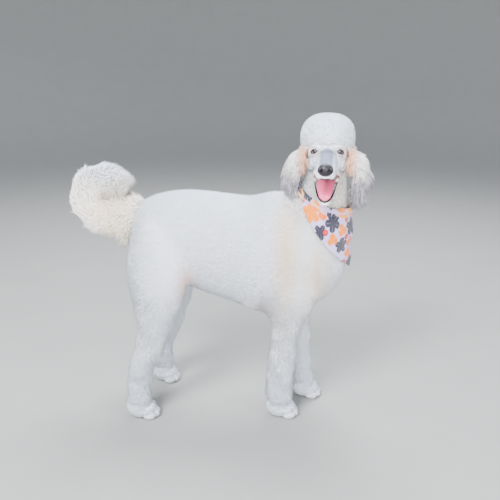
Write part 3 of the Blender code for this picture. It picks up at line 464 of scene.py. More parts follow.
def profile(name, rows, place, inset=0.0, sides=40, steps=5):
    """Loft along +X from rows of (along, top, bottom, half width), placed by a matrix."""
    rings = []
    angles = round_about(sides)
    for along, top, bottom, wide in through(rows, steps):
        high = max(0.002, (top - bottom) / 2 - inset)
        y = np.cos(angles) * max(0.002, wide - inset)
        z = np.sin(angles) * high + (top + bottom) / 2
        rings.append(moved(np.stack([np.full(sides, along), y, z], 1), place))
    return loft(name, rings)


def pipe(name, path, radii, sides=12, flat=1.0, up=(0.0, 1.0, 0.0)):
    """Tube of changing radius along a path; flat squeezes its second axis."""
    path = np.asarray(path, float)
    ways = tangents_of(path)
    one = unit(np.cross(ways, np.asarray(up)))
    other = unit(np.cross(ways, one))
    angles = round_about(sides)[None, :, None]
    ring = one[:, None] * np.cos(angles) + other[:, None] * np.sin(angles) * flat
    return loft(name, path[:, None] + ring * np.asarray(radii, float).reshape(-1, 1, 1))


def ball(name, at, size, place, rings=24, sides=36):
    """Ellipsoid placed in its mesh. The faces are put in order, so that each run is the same."""
    bpy.ops.object.select_all(action="DESELECT")
    bpy.ops.mesh.primitive_uv_sphere_add(segments=sides, ring_count=rings, radius=1.0, location=(0, 0, 0))
    sphere = bpy.context.active_object
    sphere.data.transform(place @ Matrix.Translation(at) @ Matrix.Diagonal((*size, 1.0)))
    faces = [list(face.vertices) for face in sphere.data.polygons]
    first = [face.index(min(face)) for face in faces]
    faces = sorted(face[k:] + face[:k] for face, k in zip(faces, first))
    made = mesh_of(name, points_of(sphere), faces)
    bpy.data.objects.remove(sphere, do_unlink=True)
    return made


def join(name, pieces):
    bpy.ops.object.select_all(action="DESELECT")
    for piece in pieces:
        piece.select_set(True)
    bpy.context.view_layer.objects.active = pieces[0]
    if len(pieces) > 1:
        bpy.ops.object.join()
    made = bpy.context.view_layer.objects.active
    made.name = made.data.name = name
    return made


def remesh(obj, voxel, rounds):
    """Runs overlapping closed shapes together into one even skin."""
    cubes = obj.modifiers.new("remesh", "REMESH")
    cubes.mode = "VOXEL"
    cubes.voxel_size = voxel
    cubes.use_smooth_shade = True
    smooth = obj.modifiers.new("smooth", "SMOOTH")
    smooth.factor = 0.5
    smooth.iterations = rounds
    return apply_all(obj)


def cut(obj, other, operation="DIFFERENCE"):
    step = obj.modifiers.new("cut", "BOOLEAN")
    step.operation = operation
    step.solver = "MANIFOLD"
    step.object = other
    apply_all(obj)
    bpy.data.objects.remove(other, do_unlink=True)
    return obj


def rows_of(items, field, width=3, kind=np.float32):
    rows = np.empty(len(items) * width, kind)
    items.foreach_get(field, rows)
    return rows.reshape(-1, width)


def points_of(obj):
    return rows_of(obj.data.vertices, "co").astype(float)


def set_points(obj, rows):
    obj.data.vertices.foreach_set("co", np.ascontiguousarray(rows, np.float32).ravel())
    obj.data.update()


def normals_of(obj):
    return rows_of(obj.data.vertex_normals, "vector").astype(float)


def triangles_of(obj):
    obj.data.calc_loop_triangles()
    return rows_of(obj.data.loop_triangles, "vertices", 3, np.int32)


def copy_node(name):
    """A copy of a CAD node, merged and swollen a little."""
    made = put("copy_" + name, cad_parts[name].data.copy())
    use(made)
    bpy.ops.object.mode_set(mode="EDIT")
    bpy.ops.mesh.select_all(action="SELECT")
    bpy.ops.mesh.remove_doubles(threshold=0.00001)
    bpy.ops.mesh.customdata_custom_splitnormals_clear()
    bpy.ops.object.mode_set(mode="OBJECT")
    set_points(made, points_of(made) + normals_of(made) * NODE_SWELL)
    return made


def tree_of(obj):
    shape = bmesh.new()
    shape.from_mesh(obj.data)
    tree = BVHTree.FromBMesh(shape)
    shape.free()
    return tree


def set_attribute(obj, name, kind, values):
    layer = obj.data.attributes.new(name, kind, "POINT")
    field = "color" if kind == "FLOAT_COLOR" else "value"
    layer.data.foreach_set(field, np.ascontiguousarray(values, np.float32).ravel())


def set_tone(obj, tone):
    set_attribute(obj, "tone", "FLOAT_COLOR", np.hstack([tone, np.ones((len(tone), 1))]))


# Skin.


def to_design(rows):
    """Points in the coordinates that this script's sizes are given in."""
    return rows - np.array(SHIFT)


def to_head(rows):
    return moved(rows, HEAD.inverted())


def neck_share(rows):
    """0 on the trunk, 1 well up the neck."""
    lean = math.radians(38)
    up = np.array((math.sin(lean), 0, math.cos(lean)))
    return ease((rows - np.array((0.215, 0, 0.560))) @ up, -0.02, 0.05)


def coat_depth(rows):
    """Depth of the coat over the skin of trunk, neck and legs."""
    legs, neck = legs_at(rows)[0], neck_share(rows)
    cuff = ease(rows[:, 2], 0.100, 0.045)
    return 0.0055 + 0.0040 * legs + 0.0060 * neck - 0.0025 * cuff


def evened_out(obj, rounds, share, back=0.53):
    """Takes the small lumps out of a surface, as far as share says for each point.

    Each round steps forward and then back, which keeps the surface from shrinking.
    """
    rows = points_of(obj)
    before = rows.copy()
    pairs = rows_of(obj.data.edges, "vertices", 2, np.int32)
    one, two = pairs.T
    count = np.bincount(pairs.ravel(), minlength=len(rows))[:, None]
    for step in (0.5, -back) * rounds if back else (0.5,) * rounds:
        near = np.zeros_like(rows)
        np.add.at(near, one, rows[two])
        np.add.at(near, two, rows[one])
        rows = rows + (near / count - rows) * step
    set_points(obj, before + (rows - before) * share[:, None])


def make_body_skin():
    """Skin of trunk, neck and legs: their nodes in one, smoothed, and sunk by the depth of the coat."""
    names = ["torso", "neck", "foreleg_r", "foreleg_l", "hindleg_r", "hindleg_l"]
    body = join("body", [copy_node(name) for name in names])
    remesh(body, BODY_VOXEL, 16)
    legs = legs_at(to_design(points_of(body)))[0]
    evened_out(body, 24, 0.35 + 0.65 * legs)
    evened_out(body, 22, legs, 0.0)
    set_points(body, points_of(body) + normals_of(body) * 0.0027 * legs[:, None])
    rows = points_of(body)
    set_points(body, rows - normals_of(body) * coat_depth(to_design(rows))[:, None])
    return keep_largest(remesh(body, BODY_VOXEL, 9))


def keep_largest(obj):
    """Keeps the largest connected surface."""
    shape = bmesh.new()
    shape.from_mesh(obj.data)
    left = set(shape.verts)
    islands = []
    while left:
        stack = [left.pop()]
        island = []
        while stack:
            vert = stack.pop()
            island.append(vert)
            for edge in vert.link_edges:
                near = edge.other_vert(vert)
                if near in left:
                    left.remove(near)
                    stack.append(near)
        islands.append(island)
    islands.sort(key=len)
    drop = [v for island in islands[:-1] for v in island]
    bmesh.ops.delete(shape, geom=drop, context="VERTS")
    shape.to_mesh(obj.data)
    shape.free()
    return obj


def make_tail_skin():
    """Bone of the tail, a bent pipe."""
    path = moved(through(TAIL_PATH, 6), MOVE)
    radii = through(TAIL_BONE, 6)[:, 0]
    return pipe("tail_skin", path, radii, 20)


def ear_line():
    """Line down the middle of the left ear, in the head's frame."""
    return through([EAR_ROOT, EAR_WAIST, EAR_TIP], 8)


def make_ear_skin(side):
    """Ear leather: a flat flap that hangs beside the cheek, cupped towards the face."""
    path = ear_line() * (1, side, 1)
    share = np.linspace(0, 1, len(path))
    full = np.sin(math.pi * (0.22 + 0.68 * share)) ** 0.6
    angles = round_about(24)
    rings = []
    for point, size in zip(path, full):
        x, y = np.cos(angles) * EAR_HALF_WIDE * size, side * np.sin(angles) * EAR_THICK * size
        rings.append(moved(point + np.stack([x, y, angles * 0], 1), HEAD))
    return loft("ear_skin", rings)


def make_knot_skin():
    """Core of the crest, as far inside it as its hair is deep."""
    return ball("knot_skin", KNOT_AT, KNOT_SIZE - Vector((KNOT_CORE,) * 3), HEAD, 24, 32)


def lens(side):
    """Cutter for the opening between the lids."""
    outline = lid_line(20, side)
    points = [eye_place(side) @ Vector((depth, *yz)) for depth in (0.0035, 0.030) for yz in outline]
    size = len(outline)
    faces = [tuple(range(size)), tuple(range(2 * size - 1, size - 1, -1))]
    faces += [(k, (k + 1) % size, (k + 1) % size + size, k + size) for k in range(size)]
    return face_out(mesh_of("lens", points, faces, False))


def lid_line(count, side, wide=LID_WIDE, high=LID_HIGH):
    """Almond outline between the lids, across and up from the eye's middle."""
    rows = []
    for k in range(count):
        t = -1 + 2 * k / count
        rows.append((t * wide, high * (1 - t * t) * 0.95))
    for k in range(count):
        t = 1 - 2 * k / count
        rows.append((t * wide, -high * (1 - t * t) * 0.80))
    found = []
    for across, up in rows:
        y = across * math.cos(LID_TILT) + up * math.sin(LID_TILT)
        z = -across * math.sin(LID_TILT) + up * math.cos(LID_TILT)
        found.append((side * y, z))
    return found


def lip_loop(rows, steps=4):
    """Whole lip from one corner round the front to the other, in its jaw's frame."""
    half = through(rows, steps)
    return np.vstack([half * (1, -1, 1), half[::-1][1:]])


def groove(rows, normals, path, wide, deep):
    """Presses a line into a surface."""
    apart = nearest_on(path, rows)[1]
    return rows - normals * (deep * np.exp(-((apart / wide) ** 2)))[:, None]


def head_grooves(obj):
    """Presses the folds of the face into the head's skin."""
    rows, normals = points_of(obj), normals_of(obj)
    lines = [(np.array(line) * (1, side, 1), wide, deep) for side in (-1, 1) for line, wide, deep in FOLDS]
    for points, wide, deep in [*lines, MIDDLE_FOLD]:
        rows = groove(rows, normals, moved(through(points, 6), HEAD), wide, deep)
    set_points(obj, rows)


def make_head_skin():
    """Skull and upper jaw with brows, lids, cheeks and flews, opened for the eyes and the nose."""
    pieces = [profile("skull", SKULL, HEAD, 0.0025), profile("muzzle", MUZZLE, HEAD, 0.0012)]
    lid, hollow = EYE_R + LID_THICK, EYE_R + 0.0003
    for side in (-1, 1):
        pieces.append(ball("cheek", (-0.028, side * 0.034, -0.028), (0.038, 0.014, 0.023), HEAD))
        pieces.append(ball("brow", (0.001, side * 0.024, 0.0145), (0.013, 0.015, 0.008), HEAD))
        pieces.append(ball("web", (0.010, side * 0.0270, -0.062), (0.018, 0.0045, 0.018), HEAD))
        pieces.append(ball("flew", (0.098, side * 0.0120, -0.0350), (0.021, 0.0118, 0.0118), HEAD))
        pieces.append(ball("lid", (0, 0, 0), (lid,) * 3, eye_place(side)))
    head = remesh(join("head_skin", pieces), 0.0014, 5)
    head_grooves(head)
    for side in (-1, 1):
        cut(head, ball("hollow", (0, 0, 0), (hollow,) * 3, eye_place(side)))
        cut(head, lens(side))
    cut(head, ball("nose_room", NOSE_AT, NOSE_SIZE + Vector((0.0002,) * 3), HEAD))
    return keep_largest(head)


def make_jaw_skin():
    """Lower jaw, hollowed for the tongue."""
    jaw = remesh(join("jaw_skin", [profile("jaw", JAW, JAWS, 0.0015)]), 0.0016, 3)
    return keep_largest(cut(jaw, profile("floor", JAW_FLOOR, JAWS)))


def make_paw_skin(*paw):
    """Foot with four toes, flat underneath."""
    place = paw_place(*paw)
    pieces = [
        ball("pad", (0.002, 0, 0.022), (0.035, 0.027, 0.0235), place),
        ball("ankle", (-0.006, 0, 0.040), (0.026, 0.023, 0.030), place),
    ]
    for ahead, out in TOES:
        pieces.append(ball("toe", (ahead, out, 0.0115), (0.0160, 0.0093, 0.0120), place))
        pieces.append(ball("knuckle", (ahead - 0.010, out * 0.95, 0.0235), (0.0125, 0.0082, 0.0095), place))
    made = remesh(join("paw_skin", pieces), 0.0020, 3)
    rows = points_of(made)
    rows[:, 2] = np.maximum(rows[:, 2], 0.0006)
    set_points(made, rows)
    return made


# Markings, the same for skin and coat.


def mixed(base, other, share):
    return base + (other - base) * np.asarray(share)[..., None]


def marked(tone, rows, marks):
    """Soft marks laid over a colour: each a colour, its share, a place and its reach."""
    for colour, share, at, reach in marks:
        tone = mixed(tone, colour, share * bell(rows, at, reach))
    return tone


def plain(rows):
    return np.tile(WHITE, (len(rows), 1))


def body_tone(rows):
    """Colour of the coat on trunk, neck, legs and tail, at design coordinates: painted cool skylight on the
    back, painted cool shade near the feet.
    """
    # Painted cool skylight over the top of the back.
    tone = mixed(plain(rows), COOL, 0.45 * ease(rows[:, 2], 0.56, 0.64))
    # Painted cool shade low on the legs, towards the feet.
    tone = mixed(tone, COOL, 0.35 * ease(rows[:, 2], 0.20, 0.08))
    tone = marked(tone, rows, BODY_MARKS)
    tone = mixed(tone, CREAM, 0.40 * neck_share(rows) * ease(rows[:, 0], 0.22, 0.28))
    return mixed(tone, PEACH, 0.22 * neck_share(rows) * ease(rows[:, 1], 0.0, -0.05))


def tail_tone(rows, along):
    """Cream at the root and in the curl, painted cool skylight on the top, and a mossy fringe under the
    root.
    """
    curl = bell(rows, (-0.330, 0.0, 0.585), (0.060, 0.09, 0.050))
    root = bell(rows, (-0.290, 0.0, 0.545), (0.070, 0.09, 0.060))
    outer = ease(rows[:, 2], 0.63, 0.72)
    fringe = bell(rows, (-0.305, 0.0, 0.490), (0.055, 0.09, 0.030))
    tone = mixed(plain(rows), PEACH, 0.80 * np.maximum(curl, root))
    # Painted cool skylight on the top of the plume.
    tone = mixed(tone, COOL, 0.45 * outer)
    tone = mixed(tone, CREAM, 0.50 * (1 - outer))
    return mixed(tone, MOSS, 0.25 * fringe * along)


def face_tone(rows):
    """Colour of the short coat of head and jaw, at points in the head's frame."""
    x, y, z = rows.T
    tone = mixed(plain(rows), CREAM, 0.45 * ease(z, -0.045, -0.075))
    bridge = ease(x, 0.008, 0.030) * ease(np.abs(y), 0.026, 0.012) * ease(z, -0.030, -0.010)
    tone = mixed(tone, BRIDGE, 0.93 * bridge)
    side = ease(x, 0.020, 0.050) * ease(np.abs(y), 0.012, 0.022)
    tone = mixed(tone, COOL, 0.55 * side)
    for scale, share in ((1.9, 0.30), (1.45, 0.55)):
        tone = mixed(tone, LID_SHADE, share * in_almond(rows, scale))
    for out in (-1, 1):
        tone = marked(tone, rows * (1, out, 1), FACE_MARKS)
    return tone


def ear_tone(rows, along):
    """Cream above, apricot along the inner edge and grey lavender painted shade, in streaks, towards the
    tips, in the head's frame.
    """
    x, y, z = rows.T
    tone = mixed(plain(rows), CREAM, np.full(len(rows), 0.35))
    inner = ease(np.abs(y), 0.082, 0.058) * ease(z, -0.085, -0.050) * ease(z, 0.020, -0.005)
    tone = mixed(tone, APRICOT, 0.85 * inner)
    # Painted grey lavender shade on the lower part of the ear, in streaks.
    low = ease(z, -0.042, -0.085)
    streak = 0.5 + 0.5 * np.sin(x * 520 + y * 330 + 7 * np.sin(z * 40))
    return mixed(tone, LAVENDER_SHADE, low * (0.35 + 0.60 * streak))


# Growing coat.


class Bed:
    """A skin that coat grows on: its points, normals and triangles."""

    def __init__(self, *objs):
        points, normals, triangles = [], [], []
        start = 0
        for obj in objs:
            points.append(points_of(obj))
            normals.append(normals_of(obj))
            triangles.append(triangles_of(obj) + start)
            start += len(points[-1])
        self.points, self.normals, self.triangles = map(np.vstack, (points, normals, triangles))

    def roots(self, cell, seed, wanted):
        """Roots with normals, about one to a square cell. wanted gives 0 to 1 for points and normals."""
        draw = np.random.default_rng(seed)
        corners = self.points[self.triangles]
        faces = np.cross(corners[:, 1] - corners[:, 0], corners[:, 2] - corners[:, 0])
        area = np.linalg.norm(faces, axis=1) / 2
        share = np.clip(wanted(corners.mean(1), unit(faces)), 0, 1)
        total = (area * (share > 0)).cumsum()
        tries = 2.6
        count = int(total[-1] / cell**2 * tries)
        pick = np.searchsorted(total, draw.random(count) * total[-1])
        a, b = draw.random((2, count))
        a, b = np.where(a + b > 1, 1 - a, a), np.where(a + b > 1, 1 - b, b)
        weights = np.stack([1 - a - b, a, b], 1)[..., None]
        roots = (corners[pick] * weights).sum(1)
        normals = unit((self.normals[self.triangles[pick]] * weights).sum(1))
        turn = np.array(Matrix.Rotation(0.7, 3, "X") @ Matrix.Rotation(0.6, 3, "Z"))
        cells = np.floor(roots @ turn / cell).astype(np.int64)
        key = (cells[:, 0] * 4096 + cells[:, 1]) * 4096 + cells[:, 2]
        first = np.unique(key, return_index=True)[1]
        first = first[draw.random(len(first)) < share[pick[first]]]
        return roots[first], normals[first]


def reach_to(tree, roots, tips, most):
    """How much each tuft has to grow or shrink for its tip to end at a surface round it.

    The surface is a tree, or a function under 1 inside it.
    """
    if callable(tree):
        low, high = np.full(len(roots), 0.3), np.full(len(roots), most)
        for _ in range(14):
            middle = (low + high) / 2
            inside = tree(roots + (tips - roots) * middle[:, None]) < 1
            low, high = np.where(inside, middle, low), np.where(inside, high, middle)
        return low
    found = np.ones(len(roots))
    for i, (root, tip) in enumerate(zip(roots, tips)):
        way = tip - root
        apart = tree.ray_cast(Vector(root), Vector(way), 0.2)[3]
        if apart is not None:
            found[i] = min(most, max(0.30, apart / np.linalg.norm(way)))
    return found


def node_tree(names, voxel=None, rounds=8):
    """Tree of copies of CAD nodes, smoothed if a voxel size is given."""
    made = join("copies", [copy_node(name) for name in names])
    if voxel:
        remesh(made, voxel, rounds)
    tree = tree_of(made)
    bpy.data.objects.remove(made, do_unlink=True)
    return tree


def spread_out(value, count):
    """One number, or one for each tuft, as an array."""
    return np.broadcast_to(np.asarray(value, float), (count,))


def grow(
    name, roots, normals, ways, long, wide, lift, tone, unwrap, seed, rings,
    wave, stray, sink=0.002, shape=None, within=None, most=1.35, free=0,
):
    """One mesh of closed three-sided tufts that leave their roots at the first lift and end at the second.

    tone(points, along) colours the points, and unwrap(roots) places the tufts on the baking map. within is a
    surface that the tips reach, stretched at most that much. free is the share that it doesn't change.
    """
    draw = np.random.default_rng(seed)
    count = len(roots)
    ways = unit(ways - normals * (ways * normals).sum(1, keepdims=True))
    across = unit(np.cross(normals, ways))
    turn = (draw.normal(0, 1, count) * spread_out(stray, count))[:, None]
    ways, across = ways * np.cos(turn) + across * np.sin(turn), across * np.cos(turn) - ways * np.sin(turn)
    long = spread_out(long, count) * draw.uniform(0.86, 1.14, count)
    wide = spread_out(wide, count) * draw.uniform(0.80, 1.20, count)
    first, last = (spread_out(value, count) for value in lift)
    tilt = draw.normal(0, math.radians(7), count)
    phase = draw.uniform(0, math.tau, count)
    sway = spread_out(wave, count)
    centre = np.empty((count, rings + 1, 3))
    heading = np.empty((count, rings + 1, 3))
    centre[:, 0] = roots - normals * sink
    for k in range(rings):
        angle = (first + (last - first) * (k + 0.5) / rings + tilt)[:, None]
        curl = (sway * np.sin(phase + 2.4 * k))[:, None]
        bob = (sway * np.cos(phase + 2.4 * k))[:, None]
        heading[:, k] = unit(ways * np.cos(angle) + normals * (np.sin(angle) + 0.5 * bob) + across * curl)
        centre[:, k + 1] = centre[:, k] + heading[:, k] * (long / rings)[:, None]
    heading[:, rings] = heading[:, rings - 1]
    if within is not None:
        reach = reach_to(within, centre[:, 0], centre[:, -1], most)
        reach = (reach * (1 - free) + free) * draw.uniform(0.94, 1.08, count)
        centre = centre[:, :1] + (centre - centre[:, :1]) * reach[:, None, None]
    steps = np.arange(rings) / rings
    if shape is None:
        shape = (1.0,) if rings == 1 else np.interp(steps, (0, 0.35, 0.7, 1), (0.65, 1.0, 0.72, 0.3))
    roll = draw.uniform(-0.6, 0.6, count)[:, None]
    points = np.empty((count, 3 * rings + 1, 3))
    for k in range(rings):
        way = unit(heading[:, k] + heading[:, max(0, k - 1)])
        flat = unit(across - way * (across * way).sum(1, keepdims=True))
        up = np.cross(way, flat)
        flat, up = flat * np.cos(roll) + up * np.sin(roll), up * np.cos(roll) - flat * np.sin(roll)
        half = (wide / 2 * shape[k])[:, None]
        points[:, 3 * k] = centre[:, k] + flat * half
        points[:, 3 * k + 1] = centre[:, k] + up * half * TUFT_RIDGE
        points[:, 3 * k + 2] = centre[:, k] - flat * half
    points[:, -1] = centre[:, rings]
    pattern = [(0, 2, 1)]
    for k in range(rings - 1):
        for j in range(3):
            a, b = 3 * k + j, 3 * k + (j + 1) % 3
            pattern += [(a, b, b + 3), (a, b + 3, a + 3)]
    top = 3 * rings
    pattern += [(top - 3 + j, top - 3 + (j + 1) % 3, top) for j in range(3)]
    size = top + 1
    faces = (np.arange(count)[:, None, None] * size + np.array(pattern)[None]).reshape(-1, 3)
    made = triangles_mesh(name, points.reshape(-1, 3), faces)
    along = np.tile(np.append(np.repeat(steps, 3), 1.0), count)
    set_attribute(made, "along", "FLOAT", along)
    set_attribute(made, "draw", "FLOAT", np.repeat(draw.random(count), size))
    set_tone(made, tone(points.reshape(-1, 3), along))
    patch = np.empty((size, 2))
    for k in range(rings):
        patch[3 * k : 3 * k + 3] = [(side, k / rings) for side in (0.0, 0.5, 1.0)]
    patch[-1] = (0.5, 1.0)
    corners = (unwrap(roots)[:, None] * 0.996 + patch[None] * 0.003).reshape(-1, 2)
    layer = made.data.uv_layers.new(name="OFBake")
    layer.data.foreach_set("uv", corners[faces.ravel()].astype(np.float32).ravel())
    return made


def turned(y, x):
    """Direction round an axis, as 0 to 1."""
    return np.arctan2(y, x) / math.tau + 0.5


def rolled_out(y, x, height, low, span):
    """Places on the baking map: round an axis, and along it from low, over that span."""
    return np.stack([turned(y, x), np.clip((height - low) / span, 0, 1)], 1)


def leg_axis(kind, x, y, side, height):
    """Middle of a leg at each height, in design coordinates."""
    home, top, rise, ahead = LEGS[kind]
    lean = np.clip((height - 0.026) / (top - 0.026), 0, 1)
    middle = x + (home[0] - x) * lean + np.interp(height, rise, ahead)
    return middle, y + (side * home[1] - y) * lean


def legs_at(rows):
    """How much each point belongs to a leg, and which one."""
    found = []
    for kind, x, y, side in PAWS:
        middle, out = leg_axis(kind, x, y, side, rows[:, 2])
        found.append(np.hypot(rows[:, 0] - middle, rows[:, 1] - out))
    found = np.array(found)
    return ease(rows[:, 2], 0.43, 0.30) * ease(found.min(0), 0.100, 0.070), found.argmin(0)


def body_ways(rows):
    """Lie of the coat on trunk, neck and legs: back along the trunk, down the chest, neck, rump and legs."""
    legs, neck = legs_at(rows)[0], neck_share(rows)
    chest, rump = ease(rows[:, 0], 0.20, 0.29), ease(rows[:, 0], -0.20, -0.27)
    down = np.maximum.reduce([legs, 0.9 * neck, 0.8 * chest, 0.7 * rump])
    back = np.tile((-1.0, 0.0, -0.35), (len(rows), 1))
    return mixed(back, np.array((-0.12, 0.0, -1.0)), down)


def under_cloth(rows, normals, cloth):
    """1 where cloth lies over the coat."""
    low, high = (np.array(corner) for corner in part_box("bandana"))
    close = ((rows > low - 0.02) & (rows < high + 0.02)).all(1)
    found = np.zeros(len(rows))
    for i in np.flatnonzero(close):
        hit = cloth.ray_cast(Vector(rows[i]), Vector(normals[i]), 0.040)[0]
        found[i] = hit is not None
    return found


def body_unwrap(rows):
    place = to_design(rows)
    legs, which = legs_at(place)
    found = rolled_out(place[:, 1], place[:, 2] - 0.48, place[:, 0], -0.32, 0.66)
    for i, (kind, x, y, side) in enumerate(PAWS):
        mine = (which == i) & (legs > 0.5)
        middle, out = leg_axis(kind, x, y, side, place[:, 2])
        around = turned(place[:, 1] - out, place[:, 0] - middle)
        leg = np.stack([(around * 0.24) + 0.25 * i, np.clip(place[:, 2] / 0.46, 0, 1)], 1)
        found[mine] = leg[mine]
    return found


def neck_unwrap(rows):
    place = to_design(rows)
    return rolled_out(place[:, 1], place[:, 0] - 0.247, place[:, 2], 0.50, 0.28)


def on_trunk(rows):
    return (legs_at(rows)[0] < 0.5) & (neck_share(rows) < 0.5)


BODY_ZONES = {
    "coat_rump": lambda rows: (rows[:, 0] < -TRUNK_HALF) & on_trunk(rows),
    "coat_flanks": lambda rows: (abs(rows[:, 0]) <= TRUNK_HALF) & on_trunk(rows),
    "coat_chest": lambda rows: (rows[:, 0] > TRUNK_HALF) & on_trunk(rows),
    "coat_neck": lambda rows: neck_share(rows) >= 0.5,
    "coat_forelegs": lambda rows: (legs_at(rows)[0] >= 0.5) & (rows[:, 0] > 0),
    "coat_hindlegs": lambda rows: (legs_at(rows)[0] >= 0.5) & (rows[:, 0] <= 0),
}


def dress_body(bed, cloth):
    """Plush coat of the trunk, fuller on the legs and the neck."""
    made = []
    for seed, (name, inside) in enumerate(BODY_ZONES.items()):
        on_neck = name == "coat_neck"

        def wanted(rows, normals):
            place = to_design(rows)
            in_skull = (to_head(rows)[:, 2] > -0.050) & (place[:, 2] > 0.68)
            return inside(place) & ~in_skull & (place[:, 2] > 0.040)

        roots, normals = bed.roots(NECK_CELL if on_neck else BODY_CELL, 100 + seed, wanted)
        place = to_design(roots)
        legs, neck = legs_at(place)[0], neck_share(place)
        covered = under_cloth(roots, normals, cloth)
        cuff = legs * ease(place[:, 2], 0.130, 0.060)
        long = 0.0135 + 0.0030 * legs + 0.0085 * neck + 0.0050 * cuff
        long *= 1 - 0.30 * covered
        lift = (math.radians(36) + math.radians(4) * legs) * (1 - 0.7 * covered)
        coat = grow(
            name, roots, normals, body_ways(place), long, 0.0023 + 0.0002 * legs + 0.0003 * neck,
            (lift, lift * 0.55), lambda rows, along: body_tone(to_design(rows)),
            neck_unwrap if on_neck else body_unwrap, 200 + seed, 2 if on_neck else 1,
            wave=0.10 + 0.05 * legs + 0.08 * neck, stray=0.30 + 0.04 * legs, sink=0.0010,
        )
        made.append(coat)
    return made


def knot_shape(place):
    """Under 1 inside the crest, in the head's frame."""
    return (np.abs((place - np.array(KNOT_AT) - KNOT_AWRY) / np.array(KNOT_SIZE)) ** KNOT_POWER).sum(1)


def knot_unwrap(rows):
    place = unit(to_head(rows) - np.array(KNOT_AT))
    return np.stack([turned(place[:, 1], place[:, 0]), place[:, 2] / 2 + 0.5], 1)


def knot_tone(rows, along):
    place = to_head(rows)
    # Painted cool skylight on the top of the crest.
    tone = mixed(plain(rows), COOL, 0.55 * ease(place[:, 2], 0.020, 0.085))
    return mixed(tone, CREAM, 0.35 * ease(place[:, 2], 0.030, 0.010) * ease(place[:, 0], -0.03, 0.01))


def dress_knot(bed):
    """Crest of hair that stands out from the crown to one rounded, scissored surface."""

    def wanted(rows, normals):
        place = to_head(rows)
        return place[:, 2] > 0.010 + BROW_SLOPE * place[:, 0]

    roots = bed.roots(KNOT_CELL, 301, wanted)[0]
    normals = unit((to_head(roots) - np.array(KNOT_AT)) / np.array(KNOT_SIZE) ** 2) @ HEAD_AXES.T
    ways = np.random.default_rng(303).normal(0, 1, (len(roots), 3))

    def shape_of(rows):
        place = to_head(rows)
        brow = np.where(place[:, 0] > -0.06, 0.0145 + BROW_SLOPE * place[:, 0], -0.2)
        return np.maximum(knot_shape(place), 1 + (brow - place[:, 2]) / 0.02)

    lift = (math.radians(74), math.radians(34))
    return grow(
        "coat_topknot", roots, normals, ways, KNOT_CORE * 1.30, 0.0025, lift, knot_tone, knot_unwrap, 302, 2,
        wave=0.25, stray=0.5, shape=(0.8, 1.0), within=shape_of, most=1.5,
    )


def ear_unwrap(side):
    def unwrap(rows):
        place = to_head(rows) * (1, side, 1)
        centre = ear_line()[nearest_on(ear_line(), place)[0]]
        return rolled_out(place[:, 1] - centre[:, 1], place[:, 0] - centre[:, 0], place[:, 2], -0.10, 0.13)

    return unwrap


def dress_ear(name, side, bed, seed):
    """Long wavy hair that springs from the ear leather and hangs."""

    def wanted(rows, normals):
        return to_head(rows)[:, 2] < 0.020

    roots, normals = bed.roots(EAR_CELL, seed, wanted)
    place = to_head(roots) * (1, side, 1)
    ways = np.tile((0.0, 0.0, -1.0), (len(roots), 1))
    low = ease(place[:, 2], -0.055, -0.090)
    inner = ease(place[:, 1] - np.interp(-place[:, 2], -ear_line()[:, 2], ear_line()[:, 1]), 0.0, -0.006)
    high = ease(place[:, 2], -0.020, 0.004)
    long = (0.052 - 0.004 * low - 0.038 * high) * (1 - 0.25 * inner)
    lift = (math.radians(64) * (1 - 0.3 * inner) * (1 - 0.45 * low) * (1 - 0.5 * high), math.radians(2))
    return grow(
        name, roots, normals, ways, long, 0.0023, lift, lambda rows, along: ear_tone(to_head(rows), along),
        ear_unwrap(side), seed + 1, 3, wave=0.34, stray=0.32, most=1.2, free=low,
        within=node_tree(["ear_r" if side < 0 else "ear_l"], 0.004, 3),
    )


def tail_parts(rows):
    """Direction out from the tail's bone, along it, and how far along, for each point."""
    path = moved(through(TAIL_PATH, 12), MOVE)
    index = nearest_on(path, rows)[0]
    way = tangents_of(path)[index]
    out = rows - path[index]
    return unit(out - way * (out * way).sum(1, keepdims=True)), way, index / (len(path) - 1)


def tail_unwrap(rows):
    out, way, share = tail_parts(rows)
    up = np.cross(way, (0, 1, 0))
    return np.stack([turned(out[:, 1], (out * up).sum(1)), share], 1)


def dress_tail(name, bed, first, last, seed):
    """Plume: hair that radiates from the curled tail and leans to its tip."""

    def wanted(rows, normals):
        share = tail_parts(rows)[2]
        return (to_design(rows)[:, 0] < -0.245) & (share >= first) & (share < last)

    roots = bed.roots(TAIL_CELL, seed, wanted)[0]
    out, way, share = tail_parts(roots)
    inner = np.where(share > 0.55, np.maximum(0, -out[:, 2]), np.maximum(0, out[:, 2]))
    rear = np.maximum(0, -out[:, 0]) * bell(share[:, None], 0.45, 0.2)
    long = (0.052 - 0.014 * rear) * (1 - 0.10 * inner * np.where(share < 0.2, 0.4, 1.0))
    long *= 0.82 + 0.18 * ease(share, 0.0, 0.2)
    tip = ease(share, 0.93, 1.0)
    lift = (math.radians(64) - math.radians(30) * tip, math.radians(36) - math.radians(18) * tip)
    return grow(
        name, roots, out, way, long, 0.0024, lift, lambda rows, along: tail_tone(to_design(rows), along),
        tail_unwrap, seed + 1, 3, wave=0.20, stray=0.42, within=node_tree(["tail"], 0.009, 60), most=1.12,
    )


def in_almond(place, scale):
    """1 inside the opening of either eye, in the head's frame."""
    found = np.zeros(len(place), bool)
    for side in (-1, 1):
        local = moved(moved(place, HEAD), eye_place(side).inverted())
        y, z = local[:, 1] * side, local[:, 2]
        across = y * math.cos(LID_TILT) - z * math.sin(LID_TILT)
        up = y * math.sin(LID_TILT) + z * math.cos(LID_TILT)
        t = across / (LID_WIDE * scale)
        tall = LID_HIGH * scale * np.maximum(0, 1 - t * t) + 0.0006 * scale
        found |= (abs(t) < 1) & (abs(up) < tall) & (local[:, 0] > 0)
    return found


